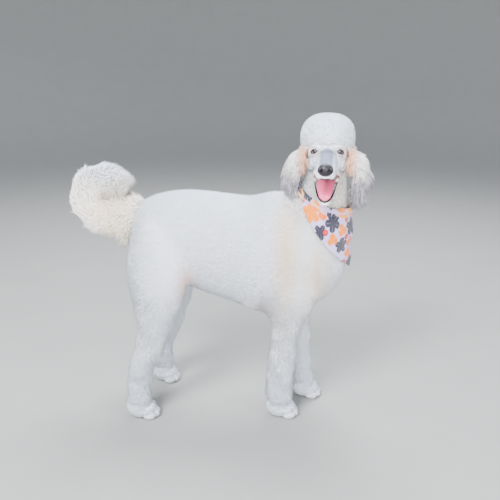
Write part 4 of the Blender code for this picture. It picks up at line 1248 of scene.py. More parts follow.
def mouth_hollow(place):
    """Under 1 in the roof of the mouth, in the head's frame."""
    wide = np.interp(place[:, 0], (-0.02, 0.03, 0.09, 0.113), (0.024, 0.0225, 0.0185, 0.010))
    middle = np.interp(place[:, 0], (-0.02, 0.03, 0.09, 0.113), (-0.062, -0.058, -0.050, -0.047))
    return (place[:, 1] / wide) ** 2 + ((place[:, 2] - middle) / 0.0135) ** 2


def face_unwrap(rows):
    place = to_head(rows)
    return rolled_out(place[:, 1], place[:, 2] + 0.028, place[:, 0], -0.15, 0.30)


def dress_face(name, skin, cell, seed):
    """Short coat of the head or the jaw, shortest at the muzzle and fullest at the cheeks and the nape."""
    upper = name == "coat_face"

    def wanted(rows, normals):
        place = to_head(rows)
        turn = normals @ HEAD_AXES
        bare = in_almond(place, 1.42)
        for side in (-1, 1):
            bare |= nearest_on(to_head(lip_corner(side)), place)[1] < 0.0050
        nose = (((place - np.array(NOSE_AT)) / (np.array(NOSE_SIZE) + 0.0012)) ** 2).sum(1) < 1.0
        if upper:
            bare |= mouth_hollow(place) < 1.25
            bare |= (nearest_on(lip_loop(UPPER_LIP), place)[1] < 0.0028) & (turn[:, 2] < 0.1)
            bare |= knot_shape(place) < 0.80
            bare |= (place[:, 0] < -0.06) & (turn[:, 2] < -0.7)
        else:
            local = moved(rows, JAWS.inverted())
            bare |= (local[:, 2] > -0.001) & (turn[:, 2] > 0.1)
            bare |= nearest_on(lip_loop(LOWER_LIP), local)[1] < 0.0040
        return ~(bare | nose)

    roots, normals = Bed(skin).roots(cell, seed, wanted)
    x, y, z = to_head(roots).T
    back = np.tile((-1.0, 0.0, -0.25), (len(roots), 1))
    ways = mixed(back, np.array((-0.35, 0.0, -1.0)), ease(x, 0.015, -0.020))
    crown = ease(z, 0.002, 0.012) * ease(x, 0.030, 0.010)
    ways = mixed(ways, np.array((-0.5, 0.0, 1.0)), crown) @ HEAD_AXES.T
    muzzle = ease(x, -0.005, 0.045) * (1.0 if upper else 0.6)
    nape = ease(x, -0.050, -0.095)
    ruff = ease(z, -0.018, -0.042) * ease(x, 0.015, -0.015) * ease(abs(y), 0.020, 0.034)
    long = 0.0078 - 0.0030 * muzzle + 0.004 * ease(z, -0.050, -0.080) * (1 - muzzle)
    long = long + 0.012 * nape + 0.012 * ruff * (1 - nape)
    wide = 0.0013 + 0.0003 * (1 - muzzle) + 0.0008 * nape
    lift = (math.radians(24) - math.radians(7) * muzzle, math.radians(5))
    return grow(
        name, roots, normals, ways, long, wide, lift, lambda rows, along: face_tone(to_head(rows)),
        face_unwrap, seed + 1, 2, wave=0.08, stray=0.22, sink=0.0008,
    )


def paws_unwrap(rows):
    place = to_design(rows)
    found = np.zeros((len(rows), 2))
    for i, (_, x, y, _) in enumerate(PAWS):
        mine = np.hypot(place[:, 0] - x, place[:, 1] - y) < 0.07
        around = turned(place[:, 1] - y, place[:, 0] - x - 0.01)
        found[mine] = np.stack([0.25 * i + 0.24 * around, np.clip(place[:, 2] / 0.075, 0, 1)], 1)[mine]
    return found


def paw_tone(rows):
    place = to_design(rows)
    toes = ease(place[:, 2], 0.034, 0.012)
    return mixed(body_tone(place), TOE_SHADE, 0.60 * toes)


def dress_paws(bed):
    """Short coat of the feet, which leaves the pads and the claws bare."""
    def wanted(rows, normals):
        return (rows[:, 2] > 0.0045) & (rows[:, 2] < 0.062) & (normals[:, 2] > -0.55)

    roots, normals = bed.roots(PAW_CELL, 701, wanted)
    ways = np.tile((0.55, 0.0, -1.0), (len(roots), 1))
    long = 0.0055 + 0.0150 * ease(roots[:, 2], 0.016, 0.042)
    lift = (math.radians(36), math.radians(8))
    return grow(
        "coat_paws", roots, normals, ways, long, 0.0022, lift, lambda rows, along: paw_tone(rows),
        paws_unwrap, 702, 2, wave=0.10, stray=0.25, sink=0.0008,
    )


# Materials.


class Socket:
    """An output of a node, with Python's operators for shader maths."""

    def __init__(self, paint, output):
        self.paint, self.output = paint, output

    def math(self, operation, other, swap=False):
        values = (other, self) if swap else (self, other)
        return self.paint.node("ShaderNodeMath", {"operation": operation}, dict(enumerate(values)))[0]

    def __add__(self, other):
        return self.math("ADD", other)

    def __sub__(self, other):
        return self.math("SUBTRACT", other)

    def __rsub__(self, other):
        return self.math("SUBTRACT", other, True)

    def __mul__(self, other):
        return self.math("MULTIPLY", other)

    def __pow__(self, other):
        return self.math("POWER", other)

    def __lt__(self, other):
        return self.math("LESS_THAN", other)

    __radd__, __rmul__ = __add__, __mul__

    def of(self, operation):
        return self.paint.node("ShaderNodeMath", {"operation": operation}, {0: self})[0]


class Paint:
    """A material being mixed: its nodes and the shader that they feed."""

    def __init__(self, name, **constants):
        self.material = bpy.data.materials.new(name)
        self.material.use_nodes = True
        self.tree = self.material.node_tree
        self.shader = self.tree.nodes["Principled BSDF"]
        for label, value in constants.items():
            self.shader.inputs[label.replace("_", " ")].default_value = value

    def node(self, kind, settings, inputs):
        """Adds a node with its settings, then its values and links. It gives the list of its outputs."""
        made = self.tree.nodes.new(kind)
        for label, value in settings.items():
            setattr(made, label, value)
        for label, value in inputs.items():
            if isinstance(value, Socket):
                self.tree.links.new(value.output, made.inputs[label])
            else:
                made.inputs[label].default_value = value
        return [Socket(self, output) for output in made.outputs]

    def place(self):
        return self.node("ShaderNodeTexCoord", {}, {})[3]

    def attribute(self, name):
        """Colour, vector and number of an attribute."""
        return self.node("ShaderNodeAttribute", {"attribute_name": name}, {})

    def noise(self, scale, detail=2.0, at=None, **more):
        inputs = {"Vector": self.place() if at is None else at, "Scale": scale, "Detail": detail, **more}
        return self.node("ShaderNodeTexNoise", {}, inputs)[0]

    def stretched(self, scale):
        """Object coordinates scaled by three numbers."""
        return self.node("ShaderNodeMapping", {}, {"Vector": self.place(), "Scale": scale})[0]

    def mix(self, base, other, share, blend="MIX"):
        """Two colours mixed."""
        made = self.tree.nodes.new("ShaderNodeMix")
        made.data_type, made.blend_type = "RGBA", blend
        for index, value in ((0, share), (6, base), (7, other)):
            if isinstance(value, Socket):
                self.tree.links.new(value.output, made.inputs[index])
            else:
                made.inputs[index].default_value = (*value, 1.0) if index else value
        return Socket(self, made.outputs[2])

    def step(self, value, low, high):
        """0 at low, 1 at high, smooth between."""
        inputs = {"Value": value, "From Min": low, "From Max": high}
        return self.node("ShaderNodeMapRange", {"interpolation_type": "SMOOTHSTEP"}, inputs)[0]

    def bump(self, height, distance, strength):
        inputs = {"Height": height, "Distance": distance, "Strength": strength}
        return self.node("ShaderNodeBump", {}, inputs)[0]

    def feed(self, label, value):
        self.tree.links.new(value.output, self.shader.inputs[label])
        return self

    def on(self, *objs):
        for obj in objs:
            obj.data.materials.clear()
            obj.data.materials.append(self.material)


def coat_paint():
    """White hair: painted shade makes it a little darker at the roots; varied from tuft to tuft and in soft
    patches.
    """
    paint = Paint("coat", Roughness=0.85, Sheen_Weight=0.07, Sheen_Roughness=0.5, Specular_IOR_Level=0.12)
    tone, along, draw = (paint.attribute(name) for name in ("tone", "along", "draw"))
    patches = paint.noise(14.0, 3.0)
    # The step on along is painted shade, darker at the roots; draw and patches vary the tone.
    shade = 0.92 + 0.04 * paint.step(along[2], 0.0, 0.8) + 0.05 * draw[2] + 0.05 * (patches - 0.5)
    grey = paint.node("ShaderNodeCombineColor", {}, {0: shade, 1: shade, 2: shade})[0]
    paint.feed("Base Color", paint.mix(tone[0], grey, 1.0, "MULTIPLY"))
    strands = paint.noise(1400.0, 1.0)
    return paint.feed("Normal", paint.bump(strands, 0.0004, 0.35))


def skin_paint():
    """Skin under the coat, with the same markings. Wet parts are glossier."""
    paint = Paint("skin", Sheen_Weight=0.15)
    tone, wet = paint.attribute("tone"), paint.attribute("wet")
    mottle = paint.noise(160.0, 3.0)
    paint.feed("Base Color", paint.mix(tone[0], (0.80, 0.74, 0.74), 0.22 * mottle))
    paint.feed("Roughness", 0.68 - 0.38 * wet[2])
    fine = paint.noise(900.0, 2.0)
    return paint.feed("Normal", paint.bump(fine + 0.6 * mottle, 0.0005, 0.5))


def eye_paint():
    """Dark brown iris with streaks, a black pupil and a veined white, all under a clear gloss."""
    paint = Paint("eye", Roughness=0.22, Coat_Weight=1.0, Coat_Roughness=0.02)
    gaze = paint.attribute("gaze")[2]
    streaks = paint.noise(2600.0, 2.0)
    iris = paint.mix((0.036, 0.014, 0.008), (0.012, 0.006, 0.005), paint.step(streaks, 0.35, 0.65))
    iris = paint.mix(iris, (0.006, 0.004, 0.004), paint.step(gaze, 0.58, 0.68))
    veins = paint.step(paint.noise(700.0, 3.0), 0.55, 0.75)
    white = paint.mix((0.24, 0.19, 0.19), (0.18, 0.08, 0.07), veins)
    ball_colour = paint.mix(iris, white, paint.step(gaze, 0.70, 0.76))
    colour = paint.mix((0.002, 0.002, 0.002), ball_colour, paint.step(gaze, 0.30, 0.34))
    return paint.feed("Base Color", colour)


def leather_paint():
    """Nose leather: dark, cobbled and a little moist."""
    paint = Paint("nose_leather", Coat_Weight=0.12, Coat_Roughness=0.25, Specular_IOR_Level=0.32)
    cells = paint.node("ShaderNodeTexVoronoi", {}, {"Vector": paint.place(), "Scale": 900.0})[0]
    worn = paint.noise(120.0, 3.0)
    tint = paint.mix((0.008, 0.0065, 0.009), (0.026, 0.021, 0.032), paint.step(worn, 0.40, 0.70))
    paint.feed("Base Color", tint)
    paint.feed("Roughness", 0.36 + 0.18 * worn)
    return paint.feed("Normal", paint.bump(1 - cells, 0.0006, 0.6))


def tongue_paint():
    """Wet pink tongue with fine buds, and painted shade that darkens it down its groove and towards the
    root.
    """
    wet = {"Coat_Weight": 0.22, "Coat_Roughness": 0.15, "Subsurface_Weight": 0.12, "Subsurface_Scale": 0.004}
    paint = Paint("tongue", **wet)
    # deep is painted shade: dark down the groove and towards the root.
    deep = paint.attribute("deep")[2]
    buds = paint.node("ShaderNodeTexVoronoi", {}, {"Vector": paint.place(), "Scale": 1300.0})[0]
    tint = paint.mix((0.74, 0.09, 0.22), (0.54, 0.06, 0.15), paint.noise(180.0, 3.0))
    paint.feed("Base Color", paint.mix(tint, (0.30, 0.07, 0.11), deep))
    paint.feed("Roughness", 0.34 + 0.2 * buds)
    return paint.feed("Normal", paint.bump(1 - buds, 0.0005, 0.5))


def horn_paint():
    """Grey horn with lengthwise grain, in darker and paler streaks."""
    paint = Paint("claw_horn", Roughness=0.4)
    grain = paint.noise(1.0, 3.0, paint.stretched((120.0, 900.0, 900.0)))
    paint.feed("Base Color", paint.mix((0.10, 0.085, 0.080), (0.34, 0.29, 0.26), grain))
    return paint.feed("Normal", paint.bump(grain, 0.0003, 0.5))


def lip_paint():
    """Dark, moist skin of the lips and the lids' rims."""
    paint = Paint("lip", Coat_Weight=0.15, Coat_Roughness=0.2, Specular_IOR_Level=0.32)
    worn = paint.noise(300.0, 3.0)
    tint = paint.mix((0.008, 0.006, 0.007), (0.040, 0.026, 0.030), paint.step(worn, 0.5, 0.8))
    paint.feed("Base Color", tint)
    paint.feed("Roughness", 0.35 + 0.2 * worn)
    return paint.feed("Normal", paint.bump(worn, 0.0004, 0.5))


# Pieces of the face.


def make_eye(name, side):
    """Eyeball with a raised cornea, turned part of the way towards the camera."""
    place = eye_place(side)
    at = place.translation
    gaze = (Vector(CAMERA_AT) - at).normalized()
    gaze = (gaze + (place.to_3x3() @ Vector((1, 0, 0))) * 0.6).normalized()
    turn = gaze.to_track_quat("Z", "Y").to_matrix().to_4x4()
    eye = ball(name, (0, 0, 0), (EYE_R,) * 3, Matrix.Translation(at) @ turn, 48, 64)
    rows = points_of(eye)
    out = unit(rows - np.array(at))
    angle = np.arccos(np.clip(out @ np.array(gaze), -1, 1))
    set_points(eye, rows + out * (0.0009 * ease(angle, 0.74, 0.10))[:, None])
    set_attribute(eye, "gaze", "FLOAT", angle)
    return eye


def make_rims():
    """Dark rims of the lids."""
    made = []
    for side in (-1, 1):
        line = np.array(lid_line(16, side, LID_WIDE * 1.03, LID_HIGH * 1.02))
        line = np.vstack([line, line[:1]])
        radius = EYE_R + 0.0012
        depth = np.sqrt(np.maximum(radius**2 - (line**2).sum(1), 1e-6))
        path = moved(np.column_stack([depth, line]), eye_place(side))
        up = eye_place(side).to_3x3() @ Vector((1, 0, 0))
        made.append(pipe("rim", path, [0.0014] * len(path), 8, up=tuple(up)))
    return join("eye_rims", made)


def make_nose():
    """Nose leather with rolled wings, comma nostrils and the line down its middle."""
    pieces = [ball("nose", NOSE_AT, NOSE_SIZE * 0.985, HEAD, 32, 48)]
    for side in (-1, 1):
        wing = NOSE_AT + Vector((0.0050, side * 0.0120, 0.0000))
        pieces.append(ball("wing", wing, (0.0075, 0.0062, 0.0078), HEAD))
    nose = remesh(join("nose_piece", pieces), 0.0007, 4)
    for side in (-1, 1):
        turn = Matrix.Rotation(side * math.radians(26), 4, "Z")
        at = HEAD @ Matrix.Translation(NOSE_AT + Vector((0.0118, side * 0.0085, 0.0004))) @ turn
        cut(nose, ball("nostril", (0, 0, 0), (0.0065, 0.0037, 0.0046), at))
        slit = HEAD @ Matrix.Translation(NOSE_AT + Vector((0.0085, side * 0.0150, -0.0022))) @ turn
        cut(nose, ball("slit", (0, 0, 0), (0.0055, 0.0042, 0.0013), slit))
    remesh(nose, 0.0007, 2)
    rows, normals = points_of(nose), normals_of(nose)
    middle = [(0.0135, 0, 0.004), (0.0138, 0, -0.004), (0.0110, 0, -0.0105), (0.006, 0, -0.0150)]
    line = moved(through(np.array(middle) + np.array(NOSE_AT), 8), HEAD)
    set_points(nose, groove(rows, normals, line, 0.0011, 0.0011))
    return nose


def make_tongue():
    """Tongue lying in the lower jaw with its tip over the front lip, grooved and curled up at its edges."""
    rings, deep = [], []
    sides = 40
    angles = round_about(sides)
    for along, up, wide in through(TONGUE, 6):
        y = np.cos(angles) * wide
        z = np.sin(angles) * 0.0048 * min(1.0, wide / 0.012)
        top = z > 0
        z = z - np.where(top, 0.0030 * np.exp(-((y / (0.20 * wide)) ** 2)), 0)
        z = z + 0.0032 * (np.abs(y) / wide) ** 2.2 * ease(along, 0.120, 0.060)
        z = z - 0.010 * ease(along, 0.128, 0.146)
        rings.append(np.stack([np.full(sides, along), y, up + z], 1))
        # deep holds painted shade, down the groove on top and towards the root.
        line = 0.75 * np.exp(-((y / (0.14 * wide)) ** 2)) * ease(along, 0.135, 0.090) * top
        deep.append(line + ease(along, 0.104, 0.062))
    tongue = loft("tongue_piece", [moved(ring, JAWS) for ring in rings])
    deep = np.append(np.clip(np.concatenate(deep), 0, 1), (1.0, 0.0))
    set_attribute(tongue, "deep", "FLOAT", deep)
    return tongue


def lip_corner(side):
    """Edge of the mouth round its corner, from the upper lip to the lower one."""
    first = moved(np.array([(0.026, side * 0.0292, -0.0575), (0.010, side * 0.0302, -0.0615)]), HEAD)
    last = moved(np.array([(0.052, side * 0.0312, 0.0036), (0.072, side * 0.0278, 0.0042)]), JAWS)
    turn = moved(np.array([(0.0010, side * 0.0308, -0.0665)]), HEAD)
    return through(np.vstack([first, turn, last]), 8)


def make_lips():
    """Dark edges of the lips, fullest under the tip of the tongue."""
    upper = lip_loop(UPPER_LIP, 6)
    lower = lip_loop(LOWER_LIP, 6)
    front = ease(upper[:, 0], 0.060, 0.110)
    low_front = ease(lower[:, 0], 0.080, 0.135)
    upper = upper + np.stack([-0.0008 * front, 0 * front, 0.0012 + 0.0006 * front], 1)
    lines = [
        (moved(upper, HEAD), 0.0013 - 0.0004 * front),
        (moved(lower, JAWS), 0.0014 + 0.0012 * low_front),
    ]
    for side, thick in ((-1, 0.0016), (1, 0.0022)):
        path = lip_corner(side)
        lines.append((path, np.full(len(path), thick)))
    return join("lips", [pipe("lip", path, radii, up=(0, 0, 1)) for path, radii in lines])


def make_claws():
    """Claws of the four toes of each foot, curved down."""
    made = []
    radii = np.array((1.0, 0.98, 0.86, 0.66, 0.40, 0.12)) * 0.0029
    for paw in PAWS:
        for ahead, out in TOES:
            path = []
            for share in np.linspace(0, 1, len(radii)):
                path.append((ahead + 0.009 + 0.0130 * share, out, 0.0130 - 0.0075 * share**1.6))
            made.append(pipe("claw", moved(path, paw_place(*paw)), radii, 10, 0.72))
    return join("claws", made)


# Neckerchief.


def band_point(tree, angle, height, off):
    """Point just outside the coat, in a direction round the neck and at a height."""
    share = (BAND_TOP.z - height) / (BAND_TOP.z - BAND_FOOT.z)
    middle = BAND_TOP.lerp(BAND_FOOT, share)
    way = Vector((math.cos(angle), math.sin(angle), 0))
    hit = tree.ray_cast(MOVE @ (middle + way * 0.17), -way)[0]
    hit = MOVE @ (middle + way * 0.02) if hit is None else hit
    middle = MOVE @ middle
    most = np.interp(abs(math.degrees(angle)) % 360, *NECK_REACH)
    far = min(float(most), math.hypot(hit.x - middle.x, hit.y - middle.y)) + off
    return np.array((middle.x, middle.y, height)) + np.array(way) * far


def band_height(angle):
    """Height of the rolled edge, which rises from the chest to the nape."""
    return BAND_LOW + BAND_RISE * ((1 - math.cos(angle)) / 2) ** 2


def evened(grid, rounds):
    """A grid of points smoothed along its rows and columns, with its edges kept."""
    for _ in range(rounds):
        old = grid.copy()
        grid[1:-1] = 0.5 * old[1:-1] + 0.25 * (old[:-2] + old[2:])
        grid[:, 1:-1] = 0.5 * grid[:, 1:-1] + 0.25 * (grid[:, :-2] + grid[:, 2:])
    return grid


def empty_grid(rows, columns):
    """Points of a grid and their flat places, still to be filled in."""
    return np.zeros((rows, columns, 3)), np.zeros((rows, columns, 2))


def uv_by_point(obj, places):
    """A UV map in metres, from one place for each vertex."""
    layer = obj.data.uv_layers.new(name="cloth")
    corners = rows_of(obj.data.loops, "vertex_index", 1, np.int32)[:, 0]
    layer.data.foreach_set("uv", np.asarray(places, float)[corners].ravel())


def sheet_mesh(name, grid, places):
    """A closed sheet of cloth from a grid of points, with its flat places in metres."""
    rows, columns = grid.shape[:2]
    index = np.arange(rows * columns).reshape(rows, columns)
    quads = np.stack([index[:-1, :-1], index[1:, :-1], index[1:, 1:], index[:-1, 1:]], 2).reshape(-1, 4)
    obj = mesh_of(name, grid.reshape(-1, 3), quads.tolist())
    uv_by_point(obj, places.reshape(-1, 2))
    solid = obj.modifiers.new("thick", "SOLIDIFY")
    solid.thickness, solid.offset = CLOTH_THICK, 0.0
    return face_out(apply_all(obj))


def make_flap(tree):
    """Triangle over the chest, with folds that sag from corner to corner under the rolled edge."""
    columns, rows = 150, 56
    grid, places = empty_grid(rows + 1, columns + 1)
    for k in range(columns + 1):
        share = -1 + 2 * k / columns
        angle = FLAP_MIDDLE + FLAP_HALF * share
        full = 0.012 + FLAP_DROP * (1 - abs(share)) ** 0.94
        for i in range(rows + 1):
            down = i / rows
            drop = full * down + 0.004
            off = 0.0052 + 0.005 * down + 0.012 * math.sin(math.pi * down**0.8) * (1 - abs(share))
            grid[i, k] = band_point(tree, angle, band_height(angle) - drop, off)
            places[i, k] = (BAND_LONG * share / 2, -drop)
    grid = evened(grid, 10)
    share = np.linspace(-1, 1, columns + 1)[None, :]
    down = np.linspace(0, 1, rows + 1)[:, None]
    sag = -places[:, :, 1] / FLAP_DROP + 0.55 * share**2
    folds = 0.0058 * np.sin(17 * sag + 2.2 * share + 0.6) * np.exp(-2.6 * sag) * (0.55 + 0.9 * share**2)
    folds += 0.0022 * np.sin(9 * share + 5 * down + 0.5) * down * (1 - 0.5 * abs(share))
    fan = bell(share, -0.62, 0.30) * ease(down, 1.0, 0.1)
    folds += 0.0030 * np.sin(23 * (share + 0.42 * down) + 1.0) * fan
    angles = FLAP_MIDDLE + FLAP_HALF * share
    out = np.stack([np.cos(angles), np.sin(angles), np.full_like(angles, 0.15)], 2)
    grid = grid + out * (folds + 0.0016)[:, :, None]
    return sheet_mesh("bandana_cloth", grid, places)


def make_band(tree):
    """Rolled edge round the neck: cloth twisted into a soft rope with folds that wind along it."""
    sides, around = 240, 48
    grid, places = empty_grid(around, sides)
    ring = []
    for k in range(sides):
        angle = math.tau * k / sides
        ring.append(band_point(tree, angle, band_height(angle), 0.0072))
    ring = np.array(ring)
    for _ in range(8):
        ring = 0.5 * ring + 0.25 * (np.roll(ring, 1, 0) + np.roll(ring, -1, 0))
    out = unit(np.cross(np.roll(ring, -1, 0) - np.roll(ring, 1, 0), (0, 0, 1)))
    angles = round_about(sides)
    near_knot = bell(np.abs(angles - math.pi - FLAP_MIDDLE), 0.0, 0.30)
    for j in range(around):
        turn = math.tau * j / around
        fold = 1.12 + 0.22 * np.cos(3 * turn + 7 * angles) + 0.10 * np.cos(5 * turn - 11 * angles + 1.0)
        fold = fold * (1 - 0.35 * near_knot) * (1 + 0.10 * np.sin(5 * angles))
        wide, high = 0.0050 * fold * math.cos(turn), 0.0108 * fold * math.sin(turn)
        grid[j] = ring + out * wide[:, None] + np.array((0, 0, 1.0)) * high[:, None]
        print_along = BAND_LONG * (angles - math.pi) / math.tau * 1.6
        places[j] = np.stack([print_along, 0.05 + 0.04 * np.full(sides, j / around)], 1)
    index = np.arange(around * sides).reshape(around, sides)
    next_row, next_column = np.roll(index, -1, 0), np.roll(index, -1, 1)
    quads = np.stack([index, next_row, np.roll(next_row, -1, 1), next_column], 2).reshape(-1, 4)
    band = mesh_of("bandana_roll", grid.reshape(-1, 3), quads.tolist())
    uv_by_point(band, places.reshape(-1, 2))
    return face_out(band)


def make_knot(tree):
    """Knot at the nape, wrapped by one turn of cloth, with two short ends that lie on the coat."""
    back = FLAP_MIDDLE + math.pi
    at = Vector(band_point(tree, back, band_height(back), 0.012))
    way, aside = Vector((math.cos(back), math.sin(back), 0)), Vector((-math.sin(back), math.cos(back), 0))
    lump = ball("lump", at, (0.010, 0.015, 0.011), Matrix.Identity(4), 32, 40)
    rows, normals = points_of(lump), normals_of(lump)
    across = (rows - np.array(at)) @ np.array(aside)
    set_points(lump, rows + normals * (0.0011 * np.sin(900 * across + 160 * (rows[:, 2] - at.z)))[:, None])
    uv_by_point(lump, (points_of(lump) - np.array(at))[:, 1:] + (0.11, 0.02))
    turns = np.linspace(0, math.tau, 41)
    up = Vector((0, 0, 1))
    loop = np.array([at + way * (0.0105 * math.cos(t)) + up * (0.0125 * math.sin(t)) for t in turns])
    wrap = pipe("wrap", loop, np.full(41, 0.0062), 16, 0.45, up=tuple(way))
    uv_by_point(wrap, points_of(wrap)[:, 1:] + (0.3, -0.6))
    made = [lump, wrap]
    for side in (-1, 1):
        columns, steps = 12, 30
        grid, places = empty_grid(steps + 1, columns + 1)
        for i in range(steps + 1):
            down = i / steps
            half = 0.0040 + 0.0095 * math.sin(math.pi * min(1, 0.12 + 0.88 * down)) ** 0.8
            spot = at + aside * (side * (0.008 + 0.022 * down)) - up * (0.040 * down)
            hit = tree.ray_cast(spot + way * 0.03, -way, 0.06)[0]
            spot = spot if hit is None else hit + way * (0.0085 + 0.003 * math.sin(3 * down))
            for k in range(columns + 1):
                over = -1 + 2 * k / columns
                lift = 0.0016 * math.cos(3.5 * over + side) * (1 - 0.4 * down)
                grid[i, k] = spot + aside * (over * half) + way * lift + up * (0.3 * half * over * side)
                places[i, k] = (0.20 * side + over * half, 0.05 - 0.045 * down)
        made.append(sheet_mesh("end", grid, places))
    return join("bandana_knot", made)


def cotton_paint():
    """Printed cotton: leaves, small pumpkins and berries scattered on a pale ground, over a fine weave."""
    paint = Paint("cotton", Roughness=0.9, Sheen_Weight=0.3, Sheen_Roughness=0.5)
    uv = paint.node("ShaderNodeUVMap", {"uv_map": "cloth"}, {})[0]
    specks = paint.node("ShaderNodeTexVoronoi", {}, {"Vector": uv, "Scale": 95.0, "Randomness": 0.9})[0]
    colour = paint.mix((0.56, 0.44, 0.80), (0.24, 0.16, 0.48), paint.step(specks, 0.20, 0.12))
    rolled = paint.step(paint.node("ShaderNodeSeparateXYZ", {}, {0: uv})[1], 0.048, 0.054)
    dyed = paint.step(paint.noise(24.0, 1.0, uv), 0.44, 0.54)
    colour = paint.mix(colour, (0.92, 0.34, 0.01), rolled * dyed)
    wobble = paint.noise(260.0, 2.0, uv)

    def motif(at, size, turn):
        """Distance, place and direction from a motif's middle, its size being 1."""
        inputs = {"Vector": uv, "Location": (*at, 0), "Rotation": (0, 0, turn), "Scale": (size, size, size)}
        place = paint.node("ShaderNodeMapping", {"vector_type": "TEXTURE"}, inputs)[0]
        far = paint.node("ShaderNodeVectorMath", {"operation": "LENGTH"}, {0: place})[1]
        x, y = paint.node("ShaderNodeSeparateXYZ", {}, {0: place})[:2]
        return far, x, y, y.math("ARCTAN2", x)

    def leaf(colour, at, size, turn, tints, lobes):
        far, _, _, way = motif(at, size, turn)
        petal = (way * (lobes / 2)).of("COSINE").of("ABSOLUTE")
        edge = 0.50 + 0.44 * petal**0.7 + 0.30 * (wobble - 0.5)
        vein = paint.step(petal, 0.985, 0.998) * paint.step(far, 0.95, 0.75)
        shape = paint.step(far - edge, 0.03, -0.03)
        colour = paint.mix(colour, tints[0], shape)
        return paint.mix(colour, tints[1], vein * shape)

    def pumpkin(colour, at, size, turn):
        x, y = motif(at, size, turn)[1:3]
        body = (x * x * 0.72 + y * y * 1.25).of("SQRT")
        ribs = paint.step((x * 7.5).of("COSINE"), 0.55, 0.95)
        tint = paint.mix((0.84, 0.11, 0.004), (0.94, 0.24, 0.01), ribs)
        stem = (x.of("ABSOLUTE") < 0.14).math("MULTIPLY", (y - 1.02).of("ABSOLUTE") < 0.22)
        colour = paint.mix(colour, (0.10, 0.16, 0.09), stem)
        return paint.mix(colour, tint, paint.step(body, 0.86, 0.80))

    def berry(colour, at, size):
        far = motif(at, size, 0.0)[0]
        tint = paint.mix((0.55, 0.006, 0.01), (0.74, 0.06, 0.05), paint.step(far, 0.5, 0.1))
        return paint.mix(colour, tint, paint.step(far, 1.0, 0.9))

    for at, size, turn, tint, lobes in LEAVES:
        colour = leaf(colour, at, size, turn, LEAF_TINTS[tint], lobes)
    for at, size, turn in PUMPKINS:
        colour = pumpkin(colour, at, size, turn)
    for at, size in BERRIES:
        colour = berry(colour, at, size)
    paint.feed("Base Color", colour)
    warp = paint.node("ShaderNodeTexWave", {"bands_direction": "X"}, {"Vector": uv, "Scale": 330.0})[1]
    weft = paint.node("ShaderNodeTexWave", {"bands_direction": "Y"}, {"Vector": uv, "Scale": 330.0})[1]
    return paint.feed("Normal", paint.bump(warp + weft + 2.0 * paint.noise(90.0, 3.0, uv), 0.0005, 0.6))


# Assembly.


def paint_skin(skin):
    """Markings of the skin: coat colours, lips, the roof of the mouth with painted shade towards its back,
    and the pads.
    """
    rows, normals = points_of(skin), normals_of(skin)
    place, head, jaw = to_design(rows), to_head(rows), moved(rows, JAWS.inverted())
    x, y, z = head.T
    in_head = ease(x, -0.150, -0.120) * ease(z, -0.115, -0.090) * ease(abs(y), 0.075, 0.060)
    tone = mixed(body_tone(place), face_tone(head), in_head)
    roof = (mouth_hollow(head) < 1.12) & (x < 0.104) & (x > -0.03) & (normals @ HEAD_AXES[:, 2] < 0.3)
    # Painted shade darkens the palate towards the back of the mouth.
    palate = mixed(np.array((0.16, 0.04, 0.05)), np.array((0.62, 0.28, 0.27)), ease(x, 0.02, 0.10))
    tone = np.where(roof[:, None], palate, tone)
    x, y, z = jaw.T
    floor = (abs(y) < 0.026) & (x > 0.0) & (x < 0.140) & (z > -0.0095) & (z < 0.02)
    floor &= (normals @ np.array(JAWS.to_3x3())[:, 2] > -0.2) & (in_head > 0)
    tone = np.where(floor[:, None], np.array((0.42, 0.16, 0.17)), tone)
    wet = np.where(roof | floor, 1.0, 0.0)
    for side in (-1, 1):
        corner = nearest_on(lip_corner(side), rows)[1] < 0.0062
        tone = np.where(corner[:, None], np.array((0.50, 0.15, 0.12)), tone)
        wet = np.where(corner, 0.8, wet)
    pads = (place[:, 2] < 0.006) & (normals[:, 2] < -0.3)
    tone = np.where(pads[:, None], INK * 2.5, tone)
    set_tone(skin, tone)
    set_attribute(skin, "wet", "FLOAT", wet)


body = make_body_skin()
head = make_head_skin()
jaw = make_jaw_skin()
ears = {side: make_ear_skin(side) for side in (-1, 1)}
knot = make_knot_skin()
tail = make_tail_skin()
paws = [make_paw_skin(*paw) for paw in PAWS]
flesh_tree = node_tree(["torso", "neck"])
flap = make_flap(flesh_tree)
band, band_knot = make_band(flesh_tree), make_knot(flesh_tree)
coats = dress_body(Bed(body), node_tree(["bandana"]))
coats += [
    dress_knot(Bed(knot)),
    dress_ear("coat_ear_r", -1, Bed(ears[-1]), 401),
    dress_ear("coat_ear_l", 1, Bed(ears[1]), 411),
    dress_tail("coat_tail_low", Bed(tail), 0.0, 0.45, 501),
    dress_tail("coat_tail_high", Bed(tail), 0.45, 1.1, 511),
    dress_face("coat_face", head, FACE_CELL, 601),
    dress_face("coat_chin", jaw, CHIN_CELL, 611),
    dress_paws(Bed(*paws)),
]
skin = body
for piece in [tail, *paws, knot, *ears.values(), head, jaw]:
    cut(skin, piece, "UNION")
skin.name = skin.data.name = "skin"
paint_skin(skin)
coat_paint().on(*coats)
skin_paint().on(skin)
for side, name in ((-1, "eye_r"), (1, "eye_l")):
    eye = make_eye(name + "_ball", side)
    eye_paint().on(eye)
    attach(eye, "root")
    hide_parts(name)
nose = make_nose()
leather_paint().on(nose)
tongue = make_tongue()
tongue_paint().on(tongue)
lips, rims = make_lips(), make_rims()
lip_paint().on(lips, rims)
claws = make_claws()
horn_paint().on(claws)
cotton_paint().on(flap, band, band_knot)
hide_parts("bandana")
for piece in [skin, *coats, nose, tongue, lips, rims, claws, flap, band, band_knot]:
    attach(piece, "root")
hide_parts("torso", "neck", "head", "lower_jaw", "topknot", "tail", "ear_r", "ear_l")
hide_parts(*[a + b for a in ("foreleg", "hindleg", "forepaw", "hindpaw") for b in ("_r", "_l")])
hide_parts("nose")
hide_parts("tongue")


# Floor, lights and camera.


